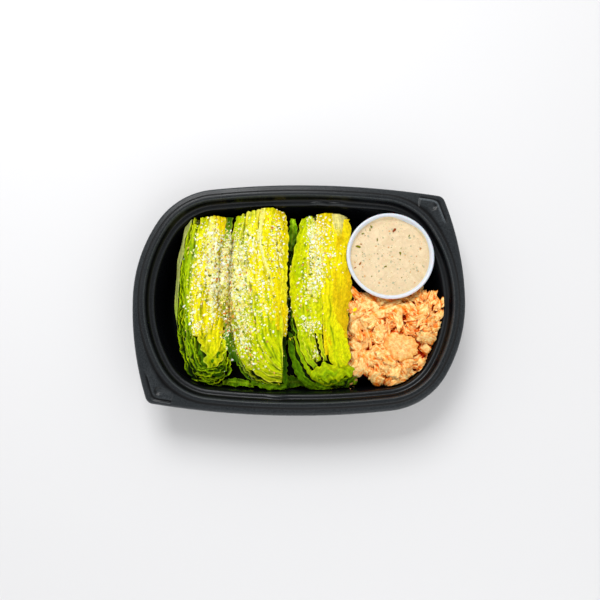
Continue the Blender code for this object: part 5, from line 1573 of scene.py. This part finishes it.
# waves are (strength, turns across the flake); light is the painted light and shade that makes a point
# paler or darker: paler on the upper side and on lumps, darker in the fibre grooves, stepped lighter and
# darker, with a random tone a flake
flakeShape = {
    "waves": ((1.0, 2.4), (0.8, 3.6), (0.6, 5.0), (0.45, 7.5), (0.35, 10.0), (0.25, 14.0)),
    "squared": (0.55, 0.95),
    "groove": 0.075,
    "step": 0.05,
    "torn": 0.09,
    "bendUp": (-0.8, 0.4),
    "bendAside": (-0.5, 0.5),
    "light": {"base": 0.50, "top": 0.28, "lumps": 2.0, "fibre": 0.22, "steps": 0.08, "uneven": 0.1}}


def flakeBodies(places, normals, values, random, yaw):
    # Many torn flakes at once. Each is a flattened ball, squared off by its own power, made lumpy by six
    # waves of its own, grooved along its length like muscle fibre, stepped where layers have split off, and
    # bent.
    count, rings, sides = len(places), values["rings"], values["sides"]
    sizes = [random.uniform(*values[key], (count, 1, 1)) * mm for key in ("length", "width", "thick")]
    length, width, thick = sizes
    polar = np.linspace(0.12, math.pi - 0.12, rings)[None, :, None]
    angle = np.linspace(0, math.tau, sides, endpoint=False)[None, None, :]
    unit = np.stack(np.broadcast_arrays(np.cos(polar), np.sin(polar) * np.cos(angle),
        np.sin(polar) * np.sin(angle)), axis=-1)
    power = random.uniform(*flakeShape["squared"], (count, 1, 1, 1))
    shape = np.sign(unit) * np.abs(unit) ** power
    lumps = np.zeros((count, rings, sides))

    def phase():
        return random.uniform(0, math.tau, (count, 1, 1))

    for strength, wave in flakeShape["waves"]:
        turn = random.normal(0, 1, (count, 3))
        turn *= wave / np.linalg.norm(turn, axis=1, keepdims=True)
        lumps += strength * np.sin(np.einsum("nj,nrsj->nrs", turn,
            np.broadcast_to(unit, lumps.shape + (3,))) + phase())
    lumps *= values["lumps"] / 1.5
    ridges = np.round(random.uniform(*values["ridges"], (count, 1, 1)))
    bend = 1.2 * np.sin(3.0 * unit[..., 0] + phase())
    fibre = 1 - 2 * np.abs(np.cos(ridges * angle / 2 + bend)) ** 0.7
    torn = np.sin(ridges * angle + phase()) + np.sin(3 * angle + 2 * bend)
    steps = np.sin(7.0 * unit[..., 0] + 2.5 * unit[..., 1] + phase())
    steps = np.clip(steps * 3.0, -1, 1)
    radius = 1 + lumps - flakeShape["groove"] * fibre * np.sin(polar) + flakeShape["step"] * steps
    local = shape * radius[..., None]
    local[..., 0] *= 1 + flakeShape["torn"] * torn
    local = local * np.stack([length / 2, width / 2, thick / 2], axis=-1)
    outward = unit[..., 0] ** 2
    local[..., 2] += random.uniform(*flakeShape["bendUp"], (count, 1, 1)) * length * 0.14 * outward
    local[..., 1] += random.uniform(*flakeShape["bendAside"], (count, 1, 1)) * width * outward
    turns = turnMatrices(normals, yaw)
    points = np.einsum("nij,nrsj->nrsi", turns, local) + places[:, None, None, :]
    # painted light and shade: paler on the upper side and on lumps, darker in the fibre grooves
    light = flakeShape["light"]
    lightness = (light["base"] + light["top"] * unit[..., 2] + light["lumps"] * lumps
        - light["fibre"] * fibre + light["steps"] * steps + random.normal(0, light["uneven"],
        (count, 1, 1)))
    lines = np.stack(np.broadcast_arrays(local[..., 0], width * angle / 5 + 0 * polar), axis=-1)
    ends = points[:, [0, -1]].mean(axis=2)
    points = np.concatenate([points.reshape(count, -1, 3), ends], axis=1)
    offset = (np.arange(count) * (rings * sides + 2))[:, None, None]
    allFaces = [(group[None] + offset).reshape(-1, group.shape[1]) for group in ringFaces(rings, sides)]
    lightness = np.concatenate([lightness.reshape(count, -1), np.full((count, 2), 0.5)], axis=1)
    lines = np.concatenate([lines.reshape(count, -1, 2), np.zeros((count, 2, 2))], axis=1)
    return points, allFaces, lightness, lines


def mixTint(lightness):
    # painted light and shade as colour: deep orange in the cracks, orange, peach, and pale on the crests
    keys = np.array([0.0, 0.28, 0.6, 1.0])
    table = np.array([salmonColours[name] for name in ("deep", "orange", "mid", "light")], float)
    return np.stack([np.interp(lightness, keys, table[:, channel]) for channel in range(3)], axis=-1)


def scatterOnHeap(count, random, edge):
    # random places on the heap, evenly by area
    share = np.sqrt(random.uniform(0, 1, count)) * edge
    angle = random.uniform(0, math.tau, 4 * count)
    kept = random.uniform(0, 1, 4 * count) < (heapReach(angle) / heapReach(angle).max()) ** 2
    angle = angle[kept][:count]
    reach = heapReach(angle) * share
    x = salmon["centre"][0] + reach * np.cos(angle)
    y = salmon["centre"][1] + reach * np.sin(angle)
    step = 0.6 * mm
    slopeX = (heapHeight(x + step, y) - heapHeight(x - step, y)) / (2 * step)
    slopeY = (heapHeight(x, y + step) - heapHeight(x, y - step)) / (2 * step)
    normal = np.stack([-slopeX, -slopeY, np.ones(count)], axis=1)
    normal[:, :2] = np.clip(normal[:, :2], -1.2, 1.2)
    return np.stack([x, y, heapHeight(x, y)], axis=1), normal


salmonLooks = {"stretch": (260.0, 1700.0, 1.0), "fibre": (1.0, 4.0, 0.5, 0.6),
    "speckle": (380.0, 5.0, 0.6), "paler": (0.75, 1.2), "lines": ((0.96, 0.44, 0.14, 1.0),
    (1.16, 1.17, 0.98, 1.0)), "gloss": 0.55, "specular": 0.12, "soft": 0.15, "depth": 0.002,
    "reach": (1.0, 0.5, 0.25), "relief": (1.0, 0.0007)}


def salmonMaterial():
    # fibre lines along each flake, moist gloss, and light that passes a little way in
    looks = salmonLooks
    material, tree, place = newMaterial("salmon")
    stretch = addNode(tree, "Mapping", {"Vector": meshAlong(tree),
        "Scale": looks["stretch"]}).outputs["Vector"]
    both = calculate(tree, "ADD", noise(tree, stretch, *looks["fibre"]),
        noise(tree, place, *looks["speckle"]))
    lines = blend(tree, remap(tree, both, *looks["paler"]), *looks["lines"])
    colour = blend(tree, 1.0, meshTint(tree)["Color"], lines, "MULTIPLY")
    return finishMaterial(material, Base_Color=colour, Roughness=looks["gloss"],
        Specular_IOR_Level=looks["specular"], Subsurface_Weight=looks["soft"],
        Subsurface_Scale=looks["depth"], Subsurface_Radius=looks["reach"],
        Normal=relief(tree, both, *looks["relief"]))


def bundles(places, normals, yaw, values, random):
    # each place becomes a bundle of strands that lie side by side and nearly along one direction
    strands = values["strands"]
    along = np.stack([np.cos(yaw), np.sin(yaw)], axis=1)
    aside = np.stack([-along[:, 1], along[:, 0]], axis=1)
    pitch = sum(values["width"]) / 2 * 0.75 * mm
    shift = (np.arange(strands) - (strands - 1) / 2) * pitch
    slide = random.normal(0, sum(values["length"]) / 2 * 0.22 * mm, (len(places), strands, 1))
    flat = places[:, None, :2] + aside[:, None] * shift[:, None] + along[:, None] * slide
    flat = flat.reshape(-1, 2)
    tall = np.column_stack([flat, heapHeight(flat[:, 0], flat[:, 1])])
    return (tall, np.repeat(normals, strands, axis=0),
            np.repeat(yaw, strands) + random.normal(0, 0.16, len(tall)))


def makeSalmon(material):
    # the core, then each size of flake at random on the heap, sunk where the front flake lies; painted
    # shade makes deeper ones darker
    random = np.random.default_rng(salmon["seed"])
    points, faces, tint, along = salmonCore()
    core = makeMesh("salmon_core", points, faces, material, linearTint(tint), along)
    faceOutwards(core)
    ontoFrame(core, "salmon", "salmon_heap")
    pieces = [core]
    for name, values in flakeSizes.items():
        places, normals = scatterOnHeap(values["count"], random, 0.98)
        yaw = random.uniform(0, math.tau, values["count"])
        if values["strands"]:
            places, normals, yaw = bundles(places, normals, yaw, values, random)
        normals[:, :2] += random.normal(0, math.tan(math.radians(values["tilt"])) * 0.6, (len(places), 2))
        places[:, 2] += random.uniform(-values["low"], values["high"], len(places)) * mm
        front = largeFlakes["salmon_flake_front"]
        away = (places[:, :2] / mm - front["centre"]) / front["size"]
        places[:, 2] -= salmon["underFlake"] * (np.hypot(away[:, 0], away[:, 1]) < 1.1)
        points, faces, lightness, lines = flakeBodies(places, normals, values, random, yaw)
        # painted shade: flakes that lie below the heap's surface are darker, those above it paler
        over = (points[..., 2] - heapHeight(points[..., 0], points[..., 1])) / mm
        depth = np.clip(over + 0.6, -3, 2) * salmon["depthShade"]
        points = between(points, *salmon["flakeGaps"])
        points[..., 0] = np.clip(points[..., 0], salmon["leftLimit"] - salmon["overLeft"],
            salmon["rightLimit"])
        piece = makeMesh("salmon_" + name, points.reshape(-1, 3), faces, material,
            linearTint(mixTint(np.clip(lightness + depth, 0, 1))).reshape(-1, 3), lines.reshape(-1, 2))
        pieces.append(ontoFrame(piece, "salmon"))
    return pieces


largeShape = {"sides": 96, "rings": 34, "foot": [(0.75, -0.6), (0.92, -0.3), (1.0, 0.1)], "dome": 3.6,
              "groove": 0.07, "band": 0.18, "lump": 0.5, "lumpSize": 5.0, "finer": 2.3}


def makeLargeFlake(name, flake, material, seed):
    # a broad smooth flake: domed rings with shallow bands across, fine grooves, lumps and a broken edge
    turn = math.radians(flake["turn"])
    angle = np.linspace(0, math.tau, largeShape["sides"], endpoint=False)
    outline = 1 + 0.05 * np.sin(3 * angle + flake["seat"])
    for size, turns, phase in ((0.04, 5, seed), (0.04, 11, seed), (0.03, 17, 0), (0.02, 29, 0)):
        outline = outline + size * np.sin(turns * angle + phase)
    rings, light = [], []
    dome = [(math.cos(a), 0.1 + 0.9 * math.sin(a) ** 0.8) for a in np.linspace(0.06, 1.54,
        largeShape["rings"])]
    for share, height in largeShape["foot"] + dome:
        along = flake["size"][0] * share * outline * np.cos(angle)
        across = flake["size"][1] * share * outline * np.sin(angle)
        groove = largeShape["groove"] * np.sin(across * 4.2 + 0.9 * np.sin(along * 0.8)) * (height > 0)
        band = np.clip(3 * np.sin(along * 0.7 + 0.6 * np.sin(across * 0.7)), -1, 1)
        lump = waves(along, across, largeShape["lumpSize"], seed)
        band = largeShape["band"] * band + largeShape["lump"] * lump
        z = (flake["seat"] + largeShape["dome"] * height * (1 + 0.25 * np.cos(angle) * share)
             + (band + groove) * min(1, 1.3 - share) * (height > 0))
        x = flake["centre"][0] + along * math.cos(turn) - across * math.sin(turn)
        y = flake["centre"][1] + along * math.sin(turn) + across * math.cos(turn)
        rings.append(np.stack([x, y, z], axis=-1) * mm)
        # painted light and shade: paler towards the top of the dome, dark at its foot
        level = np.clip(0.60 + 0.40 * height**0.6 if height > 0 else 0.2, 0, 1)
        light.append(level + 0.05 * band + 0.2 * groove)
    points, faces = closeRings(np.array(rings))
    light = np.clip(np.concatenate([np.array(light).ravel(), [0.3, 0.95]]), 0, 1)
    lines = np.column_stack([points[:, 0] * math.cos(turn) + points[:, 1] * math.sin(turn),
        points[:, 1] * math.cos(turn) - points[:, 0] * math.sin(turn)]) * largeShape["finer"]
    piece = makeMesh(name + "_meat", points, faces, material, linearTint(mixTint(light)), lines)
    faceOutwards(piece)
    return ontoFrame(piece, "salmon", name)


salmonFinish = salmonMaterial()
salmonPieces = makeSalmon(salmonFinish)
salmonPieces += [makeLargeFlake(name, flake, salmonFinish, index + 3)
                 for index, (name, flake) in enumerate(largeFlakes.items())]
print("salmon made")


# (x, y, spread in x, spread in y, count) of each patch of herbs on the leaves, in millimetres
herbPatches = [(-60, 20, 6, 20, 56), (-51, 14, 2.6, 20, 70), (-50.4, -14, 3, 9, 100), (-43, 5, 8, 24, 48),
    (-18, 32, 6, 18, 22), (15, 24, 7, 14, 18), (-70, 5, 8, 22, 16), (2, 0, 6, 22, 10),
    (-30, -38, 8, 10, 20), (-62, 50, 5, 6, 8)]
herbs = {
    "dried_herb": {"share": 1.0, "tints": [(152, 154, 34), (190, 176, 66), (126, 134, 22), (220, 186, 88),
        (200, 156, 66)]},
    "chilli_flakes": {"share": 0.22, "tints": [(244, 160, 60), (250, 190, 100), (226, 116, 36),
        (246, 176, 90)]}}
herbShape = {"size": (1.0, 2.3), "shape": (1.2, 0.7, 0.25), "lift": 0.35 * mm, "gloss": 0.6}
grainSizes = {
    "cheese_crumbs": {"share": 0.13, "size": (1.1, 2.6), "shape": (1.0, 0.8, 0.45), "corners": "ball"},
    "cheese_grains": {"share": 0.34, "size": (0.6, 1.5), "shape": (1.0, 0.85, 0.6), "corners": "diamond"}}
cheeseLooks = {"gloss": 0.6, "soft": 0.3, "sink": 0.55}
cheeseColours = [(255, 252, 214), (255, 254, 238), (255, 246, 176), (255, 238, 130)]

# (x, y, length, colour) of each larger speck on the dressing, in millimetres
dressingSpecks = [(70.4, 50.3, 4.2, "red"), (53.4, 53.3, 2.6, "green"), (47.4, 48.0, 1.8, "green"),
                  (48.9, 46.4, 1.2, "brown"), (43.6, 38.1, 3.0, "green"), (46.0, 40.0, 1.2, "brown"),
                  (57.7, 43.4, 1.8, "green"), (74.4, 32.8, 2.4, "green"), (44.8, 25.3, 2.0, "brown"),
                  (41.1, 22.3, 1.5, "brown"), (63.2, 23.0, 2.4, "green"), (83.7, 21.5, 1.6, "dark"),
                  (81.4, 46.4, 1.6, "green"), (52.6, 50.8, 1.6, "green"), (89.5, 37.0, 1.4, "brown"),
                  (62.4, 38.6, 1.0, "dark"), (75.0, 14.8, 1.4, "green")]
speckColours = {"red": (150, 64, 26), "green": (120, 120, 20), "brown": (160, 96, 36),
    "dark": (176, 172, 132), "grey": (184, 182, 150), "rust": (214, 160, 104)}
speckShape = {"shape": (1.0, 0.46, 0.22), "longer": 1.35, "sink": 0.35}
dressingDots = {
    "count": 120,
    "size": (0.7, 2.2),
    "reach": 27.0,
    "shape": (1.0, 0.75, 0.14),
    "shares": {"grey": 0.45, "dark": 0.2, "rust": 0.25, "green": 0.1}}


def surfaceTree(pieces):
    # one search tree over the finished meshes of several pieces
    points, faces, offset = [], [], 0
    for piece in pieces:
        mesh = piece.data
        flat = np.zeros(len(mesh.vertices) * 3)
        mesh.vertices.foreach_get("co", flat)
        points.append(flat.reshape(-1, 3))
        mesh.calc_loop_triangles()
        corners = np.zeros(len(mesh.loop_triangles) * 3, np.int32)
        mesh.loop_triangles.foreach_get("vertices", corners)
        faces.append(corners.reshape(-1, 3) + offset)
        offset += len(mesh.vertices)
    return BVHTree.FromPolygons(np.vstack(points).tolist(), np.vstack(faces).tolist())


dropFrom = 0.06


def dropOn(tree, places):
    # where a vertical line through each place first meets the surface, and the slope there
    found, slopes = [], []
    for x, y in places:
        point, normal, _, _ = tree.ray_cast((x, y, dropFrom), (0, 0, -1))
        if point is not None:
            found.append(point)
            slopes.append(normal if normal.z > 0 else -normal)
    return np.array(found), np.array(slopes)


def patchPlaces(patches, random, share):
    # random places in each patch, dense in its middle, in metres
    places = [np.column_stack([random.normal(middle, wide * patchSpread, int(count * share))
                               for middle, wide in ((x, sx), (y, sy))]) for x, y, sx, sy, count in patches]
    return np.vstack(places) * mm


def grainShape(kind):
    # corners and faces of a small even body: twelve corners round a ball, or the six of a double pyramid
    if kind == "diamond":
        corners = np.array([(1, 0, 0), (0, 1, 0), (-1, 0, 0), (0, -1, 0), (0, 0, 1), (0, 0, -1)], float)
        faces = np.array([(0, 1, 4), (1, 2, 4), (2, 3, 4), (3, 0, 4), (1, 0, 5), (2, 1, 5), (3, 2, 5),
            (0, 3, 5)])
        return corners, faces
    golden = (1 + math.sqrt(5)) / 2
    corners = np.array([(-1, golden, 0), (1, golden, 0), (-1, -golden, 0), (1, -golden, 0), (0, -1, golden),
                        (0, 1, golden), (0, -1, -golden), (0, 1, -golden), (golden, 0, -1), (golden, 0, 1),
                        (-golden, 0, -1), (-golden, 0, 1)]) / math.hypot(1, golden)
    faces = np.array([(0, 11, 5), (0, 5, 1), (0, 1, 7), (0, 7, 10), (0, 10, 11), (1, 5, 9), (5, 11, 4),
        (11, 10, 2), (10, 7, 6), (7, 1, 8), (3, 9, 4), (3, 4, 2), (3, 2, 6), (3, 6, 8), (3, 8, 9),
        (4, 9, 5), (2, 4, 11), (6, 2, 10), (8, 6, 7), (9, 8, 1)])
    return corners, faces


def grains(name, places, normals, sizes, shape, tint, material, random, slot, kind="ball", sink=0.25):
    # uneven grains: each a small body whose corners are moved at random, scaled to shape, laid on the slope
    corners, faces = grainShape(kind)
    count, several = len(places), len(corners)
    scale = np.reshape(sizes, (-1, 1, 1)) * mm * np.array(shape) / 2
    uneven = random.uniform(*grainLooks["corner"], (count, several, 1))
    local = corners * uneven * scale * random.uniform(*grainLooks["side"], (count, 1, 3))
    tilted = normals + random.normal(0, grainLooks["tilt"], (count, 3))
    turns = turnMatrices(tilted, random.uniform(0, math.tau, count))
    points = np.einsum("nij,nkj->nki", turns, local)
    points += (places + normals * scale[:, 0, 2:] * (1 - sink))[:, None, :]
    allFaces = (faces[None] + (np.arange(count) * several)[:, None, None]).reshape(-1, 3)
    tint = np.repeat(np.clip(tint * random.uniform(*grainLooks["tone"], (count, 1)), 0, 255), several,
        axis=0)
    along = np.repeat(places[:, :2], several, axis=0)
    piece = makeMesh(name, points.reshape(-1, 3), allFaces, material, linearTint(tint), along, smooth=False)
    return ontoFrame(piece, slot)


grainLooks = {"noise": (1500.0, 3.0), "mottle": (0.88, 1.06), "specular": 0.08, "depth": 0.001,
    "relief": (0.4, 0.0003), "corner": (0.6, 1.35), "side": (0.75, 1.3), "tilt": 0.25, "tone": (0.93, 1.03)}


def grainMaterial(name, gloss, soft):
    # crumbly: the grain's own colour, mottled, with a coarse bump
    looks = grainLooks
    material, tree, place = newMaterial(name)
    mottle = noise(tree, place, *looks["noise"])
    shade = remap(tree, mottle, *middleBand, *looks["mottle"])
    colour = blend(tree, 1.0, meshTint(tree)["Color"], shade, "MULTIPLY")
    return finishMaterial(material, Base_Color=colour, Roughness=gloss,
        Specular_IOR_Level=looks["specular"], Subsurface_Weight=soft, Subsurface_Scale=looks["depth"],
        Normal=relief(tree, mottle, *looks["relief"]))


def pick(tints, count, random):
    # one of several colours for each of count grains
    return np.array(tints, float)[random.integers(0, len(tints), count)]


def makeSprinkles():
    # grated cheese in two sizes, then herbs and chilli, in patches on the wedges
    random = np.random.default_rng(61)
    tree = surfaceTree(wedgePieces)
    cheese = grainMaterial("grated_cheese", cheeseLooks["gloss"], cheeseLooks["soft"])
    for name, values in grainSizes.items():
        places, slopes = dropOn(tree, patchPlaces(cheesePatches, random, values["share"]))
        sizes = random.uniform(*values["size"], len(places))
        grains(name, places, slopes, sizes, values["shape"], pick(cheeseColours, len(places), random),
            cheese, random, "romaine", values["corners"], cheeseLooks["sink"])
    for name, values in herbs.items():
        places, slopes = dropOn(tree, patchPlaces(herbPatches, random, values["share"]))
        places = places + slopes * herbShape["lift"]
        sizes = random.uniform(*herbShape["size"], len(places))
        grains(name, places, slopes, sizes, herbShape["shape"], pick(values["tints"], len(places), random),
               grainMaterial(name, herbShape["gloss"], 0.0), random, "romaine")


def makeSpecks():
    # herb and spice on the dressing: the larger ones at their own places, then small dots at random
    random = np.random.default_rng(83)
    tree = surfaceTree([dressingPiece])
    places, slopes = dropOn(tree, np.array([speck[:2] for speck in dressingSpecks]) * mm)
    tint = np.array([speckColours[speck[3]] for speck in dressingSpecks], float)
    material = grainMaterial("dressing_herbs", 0.4, 0.0)
    sizes = [speck[2] * speckShape["longer"] for speck in dressingSpecks]
    grains("dressing_specks", places, slopes, sizes, speckShape["shape"], tint, material, random,
        "cream_dressing", sink=speckShape["sink"])
    count = dressingDots["count"]
    reach = dressingDots["reach"] * np.sqrt(random.uniform(0, 1, count))
    turn = random.uniform(0, math.tau, count)
    spots = np.column_stack([reach * np.cos(turn), reach * np.sin(turn)]) * mm + pot["centre"]
    places, slopes = dropOn(tree, spots)
    names, chances = zip(*dressingDots["shares"].items())
    picked = random.choice(len(names), len(places), p=np.array(chances) / sum(chances))
    tint = np.array([speckColours[name] for name in names], float)[picked]
    sizes = random.uniform(*dressingDots["size"], len(places))
    grains("dressing_dots", places, slopes, sizes, dressingDots["shape"], tint, material, random,
        "cream_dressing", kind="diamond", sink=speckShape["sink"])


# (x, y, length, colour) of each stray bit of salmon or leaf outside the heaps, in millimetres
strayBits = [(40.5, -9.0, 4.0, "heart"), (40.2, -12.0, 2.2, "heart"), (38.6, -61.6, 2.6, "salmon"),
             (40.4, -64.2, 2.2, "salmon"), (39.4, -56.0, 2.0, "salmon"), (37.6, -65.6, 1.6, "salmon"),
             (41.6, -58.6, 2.4, "salmon"), (-14.8, -62.0, 1.8, "heart"), (-6.6, -30.0, 2.0, "heart")]
strayTints = {"heart": (250, 226, 20), "salmon": (255, 186, 112)}


def makeStrayBits():
    # the stray bits, dropped on whatever lies below them
    random = np.random.default_rng(97)
    tree = surfaceTree([trayPiece] + wedgePieces + scrapPieces + salmonPieces)
    places, slopes = dropOn(tree, np.array([bit[:2] for bit in strayBits]) * mm)
    tint = np.array([strayTints[bit[3]] for bit in strayBits], float)
    grains("stray_bits", places, slopes, [bit[2] for bit in strayBits], (1.0, 0.6, 0.5), tint,
           grainMaterial("stray_bits", 0.5, 0.1), random, "salmon")


makeSprinkles()
makeSpecks()
makeStrayBits()
print("sprinkles scattered")
